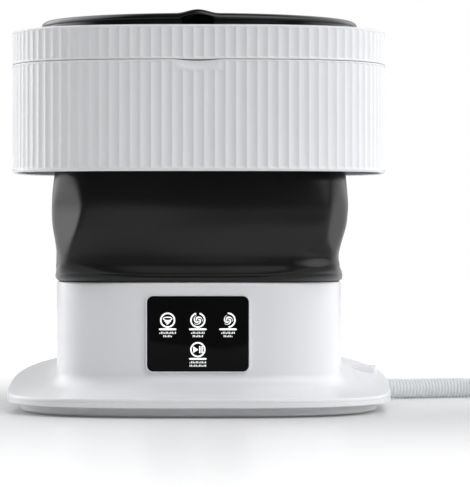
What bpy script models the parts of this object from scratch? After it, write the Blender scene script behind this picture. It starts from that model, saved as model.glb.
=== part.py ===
"""A small folding washing machine: a wide-footed base with the motor, a soft bellows tub,
a ribbed rim that folds down over the base, a ribbed lid ring and a round lid.

Metres, +Z up, the front faces -Y. The origin is on the floor, under the middle of the base.
"""

import math

import bmesh
import bpy
from mathutils import Matrix, Vector

# Driving dimensions
FOOT_HALF = 0.1593      # half width of the base's wide skirt
FOOT_POWER = 3.0        # exponent of the skirt's rounded-square outline
PLINTH_HALF = 0.148
BODY_HALF = 0.118       # half width of the base's upright walls
BODY_POWER = 3.6
RING_HALF = 0.155       # half width of the two ribbed rings
RING_POWER = 3.0
WALL = 0.0030
GAP = 0.0003            # air between pieces that touch

PLINTH_BOTTOM = 0.0012
SKIRT_BOTTOM = 0.0082
BODY_TOP = 0.1071
RING_BOTTOM = 0.1959
SEAM = 0.2843           # where the lid ring meets the rim
RING_TOP = 0.3120
LID_RADIUS = 0.132
LID_TOP = 0.3223
TUB_FLOOR = 0.0620      # inside face of the tub's floor
BELLOWS_TOP = 0.2715

PANEL_WIDTH = 0.0811
PANEL_BOTTOM = 0.0358
PANEL_TOP = 0.0959
PANEL_CORNER = 0.0036

MOTOR_X = -0.066        # motor axis; the pulsator's axis is x = 0, y = 0
MOTOR_PULLEY_RADIUS = 0.0105
DRIVEN_PULLEY_RADIUS = 0.0360
PULLEY_BOTTOM = 0.0130
PULLEY_TOP = 0.0220

RING_HINGE_Y = 0.1563
RING_HINGE_Z = 0.2845
LID_HINGE_Y = 0.1385
LID_HINGE_Z = 0.3150

DRAIN_X = 0.068
DRAIN_Y = 0.062
OUTLET_Y = 0.128        # the drain outlet's axis, which points to +X
OUTLET_Z = 0.0120
INLET_X = -0.030        # the power inlet in the back of the skirt
INLET_Z = 0.0250

HOSE_RADIUS = 0.0087
COIL_X = 0.364
COIL_Y = 0.062
COIL_INNER = 0.0783
COIL_OUTER = 0.1131

SEGMENTS = 44           # round a rounded-square piece


# Scene, collections and materials

for old in list(bpy.data.objects):
    bpy.data.objects.remove(old, do_unlink=True)

parts = bpy.data.collections.new("folding_washing_machine")
cutters = bpy.data.collections.new("cutters")
bpy.context.scene.collection.children.link(parts)
bpy.context.scene.collection.children.link(cutters)


def material(name, colour, roughness, metallic=0.0):
    made = bpy.data.materials.new(name)
    made.use_nodes = True
    shader = made.node_tree.nodes["Principled BSDF"]
    shader.inputs["Base Color"].default_value = (*colour, 1.0)
    shader.inputs["Roughness"].default_value = roughness
    shader.inputs["Metallic"].default_value = metallic
    return made


white_gloss = material("white_gloss", (0.84, 0.84, 0.86), 0.22)
white_inner = material("white_inner", (0.78, 0.78, 0.80), 0.40)
black_gloss = material("black_gloss", (0.010, 0.010, 0.011), 0.07)
black_soft = material("black_soft", (0.035, 0.036, 0.040), 0.50)
black_rubber = material("black_rubber", (0.020, 0.020, 0.020), 0.75)
dark_plastic = material("dark_plastic", (0.06, 0.06, 0.065), 0.45)
steel = material("steel", (0.62, 0.62, 0.63), 0.30, 1.0)
zinc = material("zinc", (0.55, 0.56, 0.57), 0.40, 1.0)
board_green = material("board_green", (0.03, 0.16, 0.07), 0.45)
hose_white = material("hose_white", (0.74, 0.77, 0.79), 0.30)


# Shapes

def node(name, mesh, finish, smooth_angle=35.0):
    """Puts a mesh in the parts collection as a node of its own."""
    made = bpy.data.objects.new(name, mesh)
    parts.objects.link(made)
    mesh.materials.append(finish)
    mesh.shade_smooth()
    mesh.set_sharp_from_angle(angle=math.radians(smooth_angle))
    return made


def helper(name, mesh):
    """A shape that only cuts or joins."""
    made = bpy.data.objects.new(name, mesh)
    cutters.objects.link(made)
    made.hide_render = True
    made.display_type = "WIRE"
    return made


def cut(target, tool, operation="DIFFERENCE"):
    step = target.modifiers.new(tool.name, "BOOLEAN")
    step.object = tool
    step.operation = operation
    step.solver = "EXACT"


def join(target, tool):
    cut(target, tool, "UNION")


def to_mesh(bm, name):
    bmesh.ops.recalc_face_normals(bm, faces=bm.faces)
    mesh = bpy.data.meshes.new(name)
    bm.to_mesh(mesh)
    bm.free()
    return mesh


def outline_radius(half, power, angle):
    """Distance from the middle to a rounded-square outline |x|^p + |y|^p = half^p."""
    return half / (abs(math.cos(angle)) ** power + abs(math.sin(angle)) ** power) ** (1 / power)


def skirt_edge(angle):
    """Height of the skirt's edge, which sweeps up towards the back."""
    y = outline_radius(FOOT_HALF, FOOT_POWER, angle) * math.sin(angle)
    return 0.0197 + 0.0855 * y + 0.385 * y * y


def swept(name, levels, power, closed=True, segments=SEGMENTS):
    """Extrudes a ring of edges through the levels (half width, height, power, on the skirt's edge).

    A closed list is a hollow ring; an open one gets a flat face on its first and last level.
    """
    bm = bmesh.new()
    bmesh.ops.create_circle(bm, segments=segments, radius=1.0)
    ring = sorted(bm.verts, key=lambda v: math.atan2(v.co.y, v.co.x))
    angles = [math.atan2(v.co.y, v.co.x) for v in ring]

    def place(verts, level):
        half, height, own_power, on_edge = (tuple(level) + (power, False)[len(level) - 2:])[:4]
        for vert, angle in zip(verts, angles):
            radius = outline_radius(half, own_power, angle)
            lift = skirt_edge(angle) if on_edge else 0.0
            vert.co = (radius * math.cos(angle), radius * math.sin(angle), height + lift)

    place(ring, levels[0])
    first = list(ring)
    for level in levels[1:]:
        edges = [bm.edges.get((ring[i], ring[(i + 1) % segments])) for i in range(segments)]
        grown = bmesh.ops.extrude_edge_only(bm, edges=edges)["geom"]
        fresh = {item for item in grown if isinstance(item, bmesh.types.BMVert)}
        ring = [next(e.other_vert(v) for e in v.link_edges if e.other_vert(v) in fresh) for v in ring]
        place(ring, level)
    if closed:
        last = [bm.edges.get((ring[i], ring[(i + 1) % segments])) for i in range(segments)]
        start = [bm.edges.get((first[i], first[(i + 1) % segments])) for i in range(segments)]
        bmesh.ops.bridge_loops(bm, edges=last + start)
    else:
        bmesh.ops.contextual_create(bm, geom=first)
        bmesh.ops.contextual_create(bm, geom=ring)
    # The quads are slightly twisted, and a Boolean needs flat faces.
    bmesh.ops.triangulate(bm, faces=[face for face in bm.faces if len(face.verts) == 4])
    return to_mesh(bm, name)


def block(name, low, high, corner=0.0, along=None, segments=3):
    """A box between two corners; with a corner radius, the edges along one axis are rounded."""
    bm = bmesh.new()
    size = Vector(high) - Vector(low)
    middle = (Vector(high) + Vector(low)) / 2
    bmesh.ops.create_cube(bm, size=1.0, matrix=Matrix.Translation(middle) @ Matrix.Diagonal((*size, 1.0)))
    if corner:
        picked = [e for e in bm.edges if abs((e.verts[0].co - e.verts[1].co)["xyz".index(along)]) > 1e-6]
        bmesh.ops.bevel(bm, geom=picked, offset=corner, offset_type="OFFSET", segments=segments,
                        profile=0.5, affect="EDGES", material=-1)
    return to_mesh(bm, name)


def rod(name, radius, start, end, segments=16, end_radius=None):
    """A round bar from one point to another."""
    start, end = Vector(start), Vector(end)
    along = end - start
    turn = along.to_track_quat("Z", "Y").to_matrix().to_4x4()
    bm = bmesh.new()
    bmesh.ops.create_cone(bm, cap_ends=True, segments=segments, radius1=radius,
                          radius2=radius if end_radius is None else end_radius, depth=along.length,
                          matrix=Matrix.Translation((start + end) / 2) @ turn)
    return to_mesh(bm, name)


def ball(name, middle, radii, segments=20):
    bm = bmesh.new()
    bmesh.ops.create_uvsphere(bm, u_segments=segments, v_segments=segments // 2, radius=1.0,
                              matrix=Matrix.Translation(middle) @ Matrix.Diagonal((*radii, 1.0)))
    return to_mesh(bm, name)


def turned(name, profile, finish, steps=32, at=(0.0, 0.0, 0.0), turn=None):
    """A turned piece. The profile (radius, height) runs from the top down its outer side.

    A profile that starts and ends on the axis is solid; any other is closed into a ring.
    """
    mesh = bpy.data.meshes.new(name)
    points = [(radius, 0.0, height) for radius, height in profile]
    edges = [(i, i + 1) for i in range(len(points) - 1)]
    if profile[0][0] > 0.0:
        edges.append((len(points) - 1, 0))
    mesh.from_pydata(points, edges, [])
    made = bpy.data.objects.new(name, mesh)
    parts.objects.link(made)
    mesh.materials.append(finish)
    made.location = at
    if turn:
        made.rotation_euler = turn
    spin = made.modifiers.new("turned", "SCREW")
    spin.axis = "Z"
    spin.steps = spin.render_steps = steps
    spin.use_merge_vertices = True
    spin.merge_threshold = 0.00002
    spin.use_smooth_shade = True
    return made


def smooth_route(points, per_span):
    """Points on a smooth curve through the given ones."""
    ends = [2 * Vector(points[0]) - Vector(points[1]), *map(Vector, points),
            2 * Vector(points[-1]) - Vector(points[-2])]
    route = []
    for a, b, c, d in zip(ends, ends[1:], ends[2:], ends[3:]):
        for step in range(per_span):
            t = step / per_span
            route.append(0.5 * (2 * b + (c - a) * t + (2 * a - 5 * b + 4 * c - d) * t * t
                                + (3 * b - 3 * c + d - a) * t ** 3))
    return route + [Vector(points[-1])]


def tube(name, route, radius, resolution=2):
    """A curve object with a round bevel and filled ends."""
    curve = bpy.data.curves.new(name, "CURVE")
    curve.dimensions = "3D"
    curve.bevel_depth = radius
    curve.bevel_resolution = resolution
    curve.use_fill_caps = True
    line = curve.splines.new("POLY")
    line.points.add(len(route) - 1)
    for point, place in zip(line.points, route):
        point.co = (*place, 1.0)
    return bpy.data.objects.new(name, curve)


def tube_mesh(name, route, radius, resolution=2):
    """The same tube as a closed mesh, for cutting and joining."""
    guide = tube(name + "_guide", route, radius, resolution)
    cutters.objects.link(guide)
    bpy.context.view_layer.update()
    graph = bpy.context.evaluated_depsgraph_get()
    mesh = bpy.data.meshes.new_from_object(guide.evaluated_get(graph))
    bm = bmesh.new()
    bm.from_mesh(mesh)
    bmesh.ops.remove_doubles(bm, verts=bm.verts, dist=0.00001)
    bpy.data.objects.remove(guide, do_unlink=True)
    return to_mesh(bm, name)


def cable(name, points, radius, finish, per_span=3):
    made = tube(name, smooth_route(points, per_span), radius)
    parts.objects.link(made)
    made.data.materials.append(finish)
    return made


# Base: housing with its skirt, plinth plate, feet and screws

SKIRT_OUTSIDE = [        # half width, height over the skirt's edge, outline power
    (0.1580, 0.0000, 3.0), (0.1480, 0.0018, 3.05), (0.1380, 0.0042, 3.15),
    (0.1280, 0.0082, 3.3), (0.1215, 0.0128, 3.45), (BODY_HALF, 0.0175, BODY_POWER)]
BOSS_PLACES = [(x, y) for x in (-0.072, 0.072) for y in (-0.124, 0.124)]
FOOT_PLACES = [(x, y) for x in (-0.098, 0.098) for y in (-0.098, 0.098)]
BOSS_BOTTOM = 0.0045


def skirt_height(x, y):
    """Height of the middle of the skirt's wall over a point of the plan."""
    half = (abs(x) ** 3.15 + abs(y) ** 3.15) ** (1 / 3.15)
    height = SKIRT_OUTSIDE[-1][1]
    for (wide, low, _), (narrow, high, _) in zip(SKIRT_OUTSIDE, SKIRT_OUTSIDE[1:]):
        if narrow <= half <= wide:
            height = low + (high - low) * (wide - half) / (wide - narrow)
    return skirt_edge(math.atan2(y, x)) + height - WALL / 2


def base_housing():
    lip = 0.1125
    inner = [(half - 0.0026, height - 0.0016, power, True) for half, height, power in SKIRT_OUTSIDE]
    inner[-1] = (BODY_HALF - 0.0028, SKIRT_OUTSIDE[-1][1], BODY_POWER, True)
    levels = [(0.1562, SKIRT_BOTTOM), (0.1582, SKIRT_BOTTOM), (FOOT_HALF, SKIRT_BOTTOM + 0.0012),
              (FOOT_HALF, -0.0012, FOOT_POWER, True)]
    levels += [(half, height, power, True) for half, height, power in SKIRT_OUTSIDE]
    top = [(BODY_HALF, BODY_TOP - 0.0024), (BODY_HALF - 0.0008, BODY_TOP - 0.0006),
           (BODY_HALF - 0.0025, BODY_TOP), (lip, BODY_TOP), (lip, BODY_TOP - 0.0026),
           (BODY_HALF - 0.0028, BODY_TOP - 0.0036)]
    levels += [(half, height, BODY_POWER) for half, height in top]
    levels += reversed(inner[1:])
    levels += [(0.1562, -0.0030, FOOT_POWER, True)]
    housing = node("base_housing", swept("base_housing", levels, FOOT_POWER), white_gloss)

    for number, (x, y) in enumerate(BOSS_PLACES, 1):
        boss = rod(f"boss_{number}", 0.0048, (x, y, BOSS_BOTTOM), (x, y, skirt_height(x, y)), 10, 0.0026)
        join(housing, helper(f"boss_{number}", boss))
    hump = block("hump", (0.121, 0.047, 0.0235), (0.1505, 0.084, 0.0320), 0.004, "z")
    join(housing, helper("hump", hump))

    edge = 0.0016
    bead = block("panel_bead", (-PANEL_WIDTH / 2 - edge, -0.1190, PANEL_BOTTOM - edge),
                 (PANEL_WIDTH / 2 + edge, -0.1142, PANEL_TOP + edge), PANEL_CORNER + edge, "y", 3)
    join(housing, helper("panel_bead", bead))
    window = block("panel_window", (-PANEL_WIDTH / 2 - GAP, -0.1250, PANEL_BOTTOM - GAP),
                   (PANEL_WIDTH / 2 + GAP, -0.1080, PANEL_TOP + GAP), PANEL_CORNER + GAP, "y", 3)
    cut(housing, helper("panel_window", window))

    for number, (x, y) in enumerate(BOSS_PLACES, 1):
        cut(housing, helper(f"boss_hole_{number}", rod(f"boss_hole_{number}", 0.0018, (x, y, 0.0),
                                                       (x, y, BOSS_BOTTOM + 0.0095), 8)))
    inlet_hole = rod("inlet_hole", 0.0080, (INLET_X, 0.145, INLET_Z), (INLET_X, 0.165, INLET_Z), 20)
    cut(housing, helper("inlet_hole", inlet_hole))
    outlet_hole = rod("outlet_hole", 0.0118, (0.100, OUTLET_Y, OUTLET_Z), (0.150, OUTLET_Y, OUTLET_Z), 20)
    cut(housing, helper("outlet_hole", outlet_hole))
    return housing


def base_plate():
    top = 0.0042
    rim = 0.0135
    levels = [(PLINTH_HALF - 0.0012, PLINTH_BOTTOM), (PLINTH_HALF, PLINTH_BOTTOM + 0.0014),
              (PLINTH_HALF, rim), (PLINTH_HALF - WALL, rim), (PLINTH_HALF - WALL, top)]
    plate = node("base_plate", swept("base_plate", levels, FOOT_POWER, closed=False), white_inner)
    for number, (x, y) in enumerate(FOOT_PLACES, 1):
        cut(plate, helper(f"foot_pocket_{number}",
                          rod(f"foot_pocket_{number}", 0.0090, (x, y, -0.001), (x, y, 0.0030), 16)))
    for number, (x, y) in enumerate(BOSS_PLACES, 1):
        cut(plate, helper(f"screw_way_{number}",
                          rod(f"screw_way_{number}", 0.0018, (x, y, 0.0), (x, y, 0.006), 8)))
        cut(plate, helper(f"screw_pocket_{number}",
                          rod(f"screw_pocket_{number}", 0.0036, (x, y, 0.0), (x, y, 0.0028), 12)))
    notch = block("outlet_notch", (0.084, OUTLET_Y - 0.0118, 0.0), (0.160, OUTLET_Y + 0.0118, 0.030))
    cut(plate, helper("outlet_notch", notch))
    return plate


def feet_and_screws():
    for number, (x, y) in enumerate(FOOT_PLACES, 1):
        turned(f"rubber_foot_{number}", [(0.0, 0.0027), (0.0087, 0.0027), (0.0087, 0.0008),
                                         (0.0080, 0.0), (0.0, 0.0)], black_rubber, 16, (x, y, 0.0))
    for number, (x, y) in enumerate(BOSS_PLACES, 1):
        turned(f"base_screw_{number}", [(0.0, 0.0135), (0.0015, 0.0128), (0.0015, 0.0025), (0.0033, 0.0025),
                                        (0.0033, 0.0016), (0.0026, 0.0013), (0.0, 0.0013)],
               steel, 8, (x, y, 0.0))


# Control panel, its board and the wiring

def controls():
    panel = block("control_panel", (-PANEL_WIDTH / 2, -0.1188, PANEL_BOTTOM),
                  (PANEL_WIDTH / 2, -0.1140, PANEL_TOP), PANEL_CORNER, "y", 3)
    node("control_panel", panel, black_gloss)
    board = block("control_board", (-0.036, -0.1126, 0.041), (0.036, -0.1110, 0.091), 0.002, "y", 2)
    board = node("control_board", board, board_green)
    chips = [((-0.020, 0.075), (-0.006, 0.086)), ((0.006, 0.072), (0.022, 0.084)),
             ((-0.008, 0.046), (0.010, 0.056))]
    for number, ((left, low), (right, high)) in enumerate(chips, 1):
        chip = block(f"chip_{number}", (left, -0.1114, low), (right, -0.1088, high))
        join(board, helper(f"chip_{number}", chip))
    turned("power_inlet", [(0.0, 0.0130), (0.0012, 0.0125), (0.0012, 0.0045), (0.0045, 0.0045),
                           (0.0045, 0.0165), (0.0075, 0.0165), (0.0075, 0.0140), (0.0100, 0.0140),
                           (0.0100, 0.0118), (0.0070, 0.0118), (0.0070, 0.0), (0.0, 0.0)],
           dark_plastic, 16, (INLET_X, 0.1396, INLET_Z), (math.radians(-90), 0.0, 0.0))
    cable("power_lead", [(INLET_X, 0.1385, INLET_Z), (INLET_X - 0.004, 0.130, 0.021),
                         (-0.055, 0.108, 0.011), (-0.098, 0.088, 0.009), (-0.124, 0.045, 0.009),
                         (-0.124, -0.045, 0.009), (-0.098, -0.088, 0.010), (-0.050, -0.104, 0.020),
                         (-0.016, -0.1075, 0.034), (-0.012, -0.1090, 0.0405)], 0.0018, dark_plastic, 2)
    cable("motor_lead", [(0.006, -0.1080, 0.062), (0.004, -0.098, 0.052), (-0.030, -0.072, 0.040),
                         (-0.058, -0.045, 0.040), (MOTOR_X, -0.0316, 0.041)], 0.0018, dark_plastic, 2)


# Drive: motor, belt, pulleys, bearings and pulsator

def drive():
    turned("motor", [(0.0, 0.0572), (0.0260, 0.0572), (0.0310, 0.0545), (0.0310, 0.0300), (0.0280, 0.0272),
                     (0.0100, 0.0272), (0.0100, 0.0255), (0.0034, 0.0255), (0.0034, 0.0300), (0.0, 0.0300)],
           zinc, 24, (MOTOR_X, 0.0, 0.0))
    bracket = block("motor_bracket", (-0.106, -0.037, 0.0245), (-0.022, 0.037, 0.0267), 0.006, "z", 3)
    bracket = node("motor_bracket", bracket, steel)
    for number, (x, y) in enumerate([(x, y) for x in (-0.100, -0.028) for y in (-0.031, 0.031)], 1):
        join(bracket, helper(f"bracket_post_{number}",
                             rod(f"bracket_post_{number}", 0.0040, (x, y, 0.0250), (x, y, 0.0586), 12)))
    cut(bracket, helper("motor_boss_hole", rod("motor_boss_hole", 0.0105, (MOTOR_X, 0.0, 0.020),
                                               (MOTOR_X, 0.0, 0.030), 24)))
    turned("motor_shaft", [(0.0, 0.0296), (0.0030, 0.0296), (0.0030, 0.0105), (0.0, 0.0105)],
           steel, 16, (MOTOR_X, 0.0, 0.0))

    def pulley(name, radius, bore, x, steps):
        groove = radius - 0.0030
        middle = (PULLEY_TOP + PULLEY_BOTTOM) / 2
        turned(name, [(radius + 0.0008, PULLEY_TOP), (radius + 0.0008, PULLEY_TOP - 0.0012),
                      (groove, middle + 0.0015), (groove, middle - 0.0015),
                      (radius + 0.0008, PULLEY_BOTTOM + 0.0012), (radius + 0.0008, PULLEY_BOTTOM),
                      (bore, PULLEY_BOTTOM), (bore, PULLEY_TOP)], dark_plastic, steps, (x, 0.0, 0.0))

    pulley("motor_pulley", MOTOR_PULLEY_RADIUS, 0.0033, MOTOR_X, 18)
    pulley("driven_pulley", DRIVEN_PULLEY_RADIUS, 0.0053, 0.0, 28)
    drive_belt()
    turned("pulsator_shaft", [(0.0, 0.0705), (0.0050, 0.0705), (0.0050, 0.0095), (0.0, 0.0095)], steel, 16)
    turned("bearing_housing", [(0.0140, 0.0650), (0.0140, 0.0587), (0.0165, 0.0587), (0.0165, 0.0250),
                               (0.0113, 0.0250), (0.0113, 0.0352), (0.0065, 0.0352), (0.0065, 0.0495),
                               (0.0113, 0.0495), (0.0113, 0.0650)], zinc, 24)
    for name, low, high, finish in (("lower_bearing", 0.0279, 0.0349, steel),
                                    ("upper_bearing", 0.0498, 0.0568, steel),
                                    ("shaft_seal", 0.0571, 0.0645, black_rubber)):
        turned(name, [(0.0110, high), (0.0110, low), (0.0053, low), (0.0053, high)], finish, 20)
    pulsator()


def drive_belt():
    """A flat-sided loop round both pulleys: two arcs and the two straight runs between them."""
    middle = (PULLEY_TOP + PULLEY_BOTTOM) / 2
    half_height = 0.0012
    distance = -MOTOR_X
    lean = math.asin((DRIVEN_PULLEY_RADIUS - MOTOR_PULLEY_RADIUS) / distance)

    def loop(offset):
        points = []
        for x, radius, start, end, count in (
                (0.0, DRIVEN_PULLEY_RADIUS, -math.pi / 2 - lean, math.pi / 2 + lean, 22),
                (MOTOR_X, MOTOR_PULLEY_RADIUS, math.pi / 2 + lean, 3 * math.pi / 2 - lean, 10)):
            for step in range(count + 1):
                angle = start + (end - start) * step / count
                reach = radius + offset
                points.append((x + reach * math.cos(angle), reach * math.sin(angle)))
        return points

    bm = bmesh.new()
    loops = []
    for offset in (-0.0022, 0.0012):
        verts = [bm.verts.new((x, y, middle - half_height)) for x, y in loop(offset)]
        loops += [bm.edges.new((verts[i - 1], verts[i])) for i in range(len(verts))]
    bmesh.ops.bridge_loops(bm, edges=loops)
    grown = bmesh.ops.extrude_face_region(bm, geom=bm.faces[:])["geom"]
    bmesh.ops.translate(bm, verts=[v for v in grown if isinstance(v, bmesh.types.BMVert)],
                        vec=(0.0, 0.0, 2 * half_height))
    node("drive_belt", to_mesh(bm, "drive_belt"), black_rubber)


def pulsator():
    """The washing disc: a shallow dish with a hub and four rounded vanes."""
    disc = turned("pulsator", [(0.0145, 0.0790), (0.0165, 0.0765), (0.0190, 0.0728), (0.0560, 0.0700),
                               (0.0735, 0.0706), (0.0750, 0.0690), (0.0745, 0.0665), (0.0053, 0.0665),
                               (0.0053, 0.0709), (0.0028, 0.0709), (0.0028, 0.0770), (0.0047, 0.0770),
                               (0.0047, 0.0790)], white_inner, 32)
    for number in range(4):
        angle = math.radians(45 + 90 * number)
        vane = ball(f"vane_{number}", (0.0, 0.0, 0.0), (0.0270, 0.0085, 0.0070), 10)
        vane.transform(Matrix.Rotation(angle, 4, "Z") @ Matrix.Translation((0.0420, 0.0, 0.0712)))
        tool = helper(f"vane_{number}", vane)
        join(disc, tool)
    skim = rod("pulsator_underside", 0.080, (0.0, 0.0, 0.0600), (0.0, 0.0, 0.0664), 24)
    cut(disc, helper("pulsator_underside", skim))
    turned("pulsator_screw", [(0.0, 0.0800), (0.0030, 0.0800), (0.0042, 0.0793), (0.0042, 0.0774),
                              (0.0024, 0.0774), (0.0024, 0.0709), (0.0, 0.0709)], steel, 16)


# Tub: pan, drain and bellows

def tub_pan():
    floor = 0.0030
    levels = [(0.0900, TUB_FLOOR - floor), (0.0980, TUB_FLOOR - 0.0008), (0.1015, 0.0685), (0.1035, 0.0985),
              (0.1050, 0.1008), (0.1118, 0.1010), (0.1118, 0.1040), (0.1035, 0.1040), (0.1010, 0.1000),
              (0.0990, 0.0695), (0.0960, 0.0640), (0.0890, TUB_FLOOR)]
    pan = node("tub_pan", swept("tub_pan", levels, BODY_POWER, closed=False), white_inner)
    cut(pan, helper("hub_hole", rod("hub_hole", 0.0144, (0, 0, 0.05), (0, 0, 0.07), 32)))
    drain_hole = rod("drain_hole", 0.0095, (DRAIN_X, DRAIN_Y, 0.05), (DRAIN_X, DRAIN_Y, 0.07), 24)
    cut(pan, helper("drain_hole", drain_hole))


def drain():
    turned("drain_plug", [(0.0, 0.0770), (0.0042, 0.0762), (0.0045, 0.0742), (0.0026, 0.0720),
                          (0.0026, 0.0672), (0.0100, 0.0655), (0.0112, 0.0645), (0.0112, 0.0623),
                          (0.0088, 0.0623), (0.0080, 0.0572), (0.0, 0.0572)],
           black_rubber, 16, (DRAIN_X, DRAIN_Y, 0.0))
    route = smooth_route([(DRAIN_X, DRAIN_Y, 0.0560), (DRAIN_X, DRAIN_Y, 0.0440),
                          (0.0700, 0.0665, 0.0270), (0.0745, 0.0830, 0.0170), (0.0790, 0.1050, 0.0128),
                          (0.0880, 0.1235, OUTLET_Z), (0.0960, 0.1280, OUTLET_Z),
                          (0.1035, OUTLET_Y, OUTLET_Z)], 2)
    elbow = node("drain_elbow", tube_mesh("drain_elbow", route, 0.0072), white_inner)
    cup = rod("elbow_cup", 0.0122, (DRAIN_X, DRAIN_Y, 0.0500), (DRAIN_X, DRAIN_Y, TUB_FLOOR - 0.0033), 20)
    join(elbow, helper("elbow_cup", cup))
    bore = [route[0] + Vector((0.0, 0.0, 0.006)), *route, route[-1] + Vector((0.006, 0.0, 0.0))]
    cut(elbow, helper("elbow_bore", tube_mesh("elbow_bore", bore, 0.0055)))
    mouth = rod("elbow_mouth", 0.0094, (DRAIN_X, DRAIN_Y, 0.0530), (DRAIN_X, DRAIN_Y, 0.0650), 20)
    cut(elbow, helper("elbow_mouth", mouth))


BELLOWS_OUTSIDE = [     # half width, height
    (0.1165, BODY_TOP + GAP), (0.1183, 0.1105), (0.1180, 0.1160), (0.1156, 0.1200), (0.1155, 0.1320),
    (0.1218, 0.1670), (0.1205, 0.1990), (0.1165, 0.2600), (0.1160, BELLOWS_TOP)]


def bellows():
    wall = 0.0024
    inside = [(half - wall, height) for half, height in BELLOWS_OUTSIDE[4:]]
    levels = BELLOWS_OUTSIDE + inside[::-1] + [(0.1125, BODY_TOP + GAP)]
    node("bellows", swept("bellows", levels, BODY_POWER), black_soft)
    # The lower ring stays under the deck's collar when the rim is folded down.
    lower = [(0.1121, 0.1043), (0.1121, 0.1094), (0.1092, 0.1094), (0.1072, 0.1080), (0.1072, 0.1043)]
    node("lower_clamp_ring", swept("lower_clamp_ring", lower, BODY_POWER), white_inner)
    upper = [(0.1195, 0.2625), (0.1195, 0.2705), (0.1166, 0.2705), (0.1169, 0.2625)]
    node("upper_clamp_ring", swept("upper_clamp_ring", upper, BODY_POWER), white_inner)


# Rim, lid ring and lid

def rim():
    inside = RING_HALF - WALL
    flange = 0.1455
    levels = [(inside, RING_BOTTOM + 0.0008), (inside + 0.0015, RING_BOTTOM),
              (RING_HALF, RING_BOTTOM + 0.0022), (RING_HALF, SEAM - 0.0012), (RING_HALF - 0.0010, SEAM),
              (flange, SEAM), (flange, SEAM - 0.0032), (inside, SEAM - 0.0032)]
    ring = node("rim_ring", swept("rim_ring", levels, RING_POWER), white_gloss)
    scoop = ball("finger_scoop", (0.0, -0.1560, SEAM + 0.0010), (0.0210, 0.0028, 0.0120), 24)
    cut(ring, helper("finger_scoop", scoop))
    deck = [(0.1515, 0.2778), (0.1515, 0.2808), (0.1100, 0.2808, BODY_POWER), (0.1100, 0.2600, BODY_POWER),
            (0.1131, 0.2600, BODY_POWER), (0.1131, 0.2778, BODY_POWER)]
    node("tub_deck", swept("tub_deck", deck, RING_POWER), white_inner)
    seal = [(0.1185, 0.2811), (0.1175, 0.2866), (0.1140, 0.2866), (0.1130, 0.2811)]
    node("ring_seal", swept("ring_seal", seal, BODY_POWER), black_rubber)

    # Two knuckles on the rim, with room between them for the lid ring's.
    for side in (-1, 1):
        knuckle = rod(f"rim_knuckle_{side}", 0.0030, (side * 0.0155, RING_HINGE_Y, RING_HINGE_Z),
                      (side * 0.0300, RING_HINGE_Y, RING_HINGE_Z), 20)
        join(ring, helper(f"rim_knuckle_{side}", knuckle))
    way = rod("rim_knuckle_way", 0.0034, (-0.0152, RING_HINGE_Y, RING_HINGE_Z),
              (0.0152, RING_HINGE_Y, RING_HINGE_Z), 20)
    cut(ring, helper("rim_knuckle_way", way))
    bore = rod("rim_pin_bore", 0.0013, (-0.0310, RING_HINGE_Y, RING_HINGE_Z),
               (0.0310, RING_HINGE_Y, RING_HINGE_Z), 16)
    cut(ring, helper("rim_pin_bore", bore))
    node("ring_hinge_pin", rod("ring_hinge_pin", 0.0012, (-0.0298, RING_HINGE_Y, RING_HINGE_Z),
                               (0.0298, RING_HINGE_Y, RING_HINGE_Z), 16), steel)


def lid_ring():
    bottom = SEAM + GAP
    inside = RING_HALF - WALL
    deck_top = 0.3117
    throat = 0.1150
    levels = [(inside, bottom), (inside + 0.0018, bottom), (RING_HALF, bottom + 0.0012),
              (RING_HALF, 0.3082), (RING_HALF - 0.0014, 0.3110), (RING_HALF - 0.0048, RING_TOP),
              (0.1340, deck_top, 2.3),
              (throat, deck_top, 2.0), (throat, 0.3000, 2.0), (throat + 0.0025, 0.3000, 2.0),
              (throat + 0.0025, 0.3087, 2.0), (0.1480, 0.3087), (inside, 0.3060)]
    ring = node("lid_ring", swept("lid_ring", levels, RING_POWER), white_gloss)
    knuckle = rod("lid_ring_knuckle", 0.0030, (-0.0149, RING_HINGE_Y, RING_HINGE_Z),
                  (0.0149, RING_HINGE_Y, RING_HINGE_Z), 20)
    join(ring, helper("lid_ring_knuckle", knuckle))
    for side in (-1, 1):
        way = rod(f"lid_ring_way_{side}", 0.0034, (side * 0.0151, RING_HINGE_Y, RING_HINGE_Z),
                  (side * 0.0304, RING_HINGE_Y, RING_HINGE_Z), 20)
        cut(ring, helper(f"lid_ring_way_{side}", way))
    bore = rod("lid_ring_bore", 0.0013, (-0.0310, RING_HINGE_Y, RING_HINGE_Z),
               (0.0310, RING_HINGE_Y, RING_HINGE_Z), 16)
    cut(ring, helper("lid_ring_bore", bore))

    # Two ears on the deck carry the round lid.
    for side in (-1, 1):
        ear = block(f"lid_ear_{side}", (min(side * 0.0125, side * 0.0165), LID_HINGE_Y - 0.0024, 0.3105),
                    (max(side * 0.0125, side * 0.0165), LID_HINGE_Y + 0.0024, LID_HINGE_Z))
        join(ring, helper(f"lid_ear_{side}", ear))
        crown = rod(f"lid_ear_crown_{side}", 0.0024, (side * 0.0125, LID_HINGE_Y, LID_HINGE_Z),
                    (side * 0.0165, LID_HINGE_Y, LID_HINGE_Z), 16)
        join(ring, helper(f"lid_ear_crown_{side}", crown))
    ear_bore = rod("lid_ear_bore", 0.0011, (-0.018, LID_HINGE_Y, LID_HINGE_Z),
                   (0.018, LID_HINGE_Y, LID_HINGE_Z), 12)
    cut(ring, helper("lid_ear_bore", ear_bore))

    liner = [(0.1515, 0.2870), (0.1515, 0.2890), (0.1200, 0.2890, 2.0), (0.1200, 0.2985, 2.0),
             (0.1155, 0.2985, 2.0), (0.1155, 0.2870, 2.0)]
    node("lid_liner", swept("lid_liner", liner, RING_POWER), white_inner)


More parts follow.
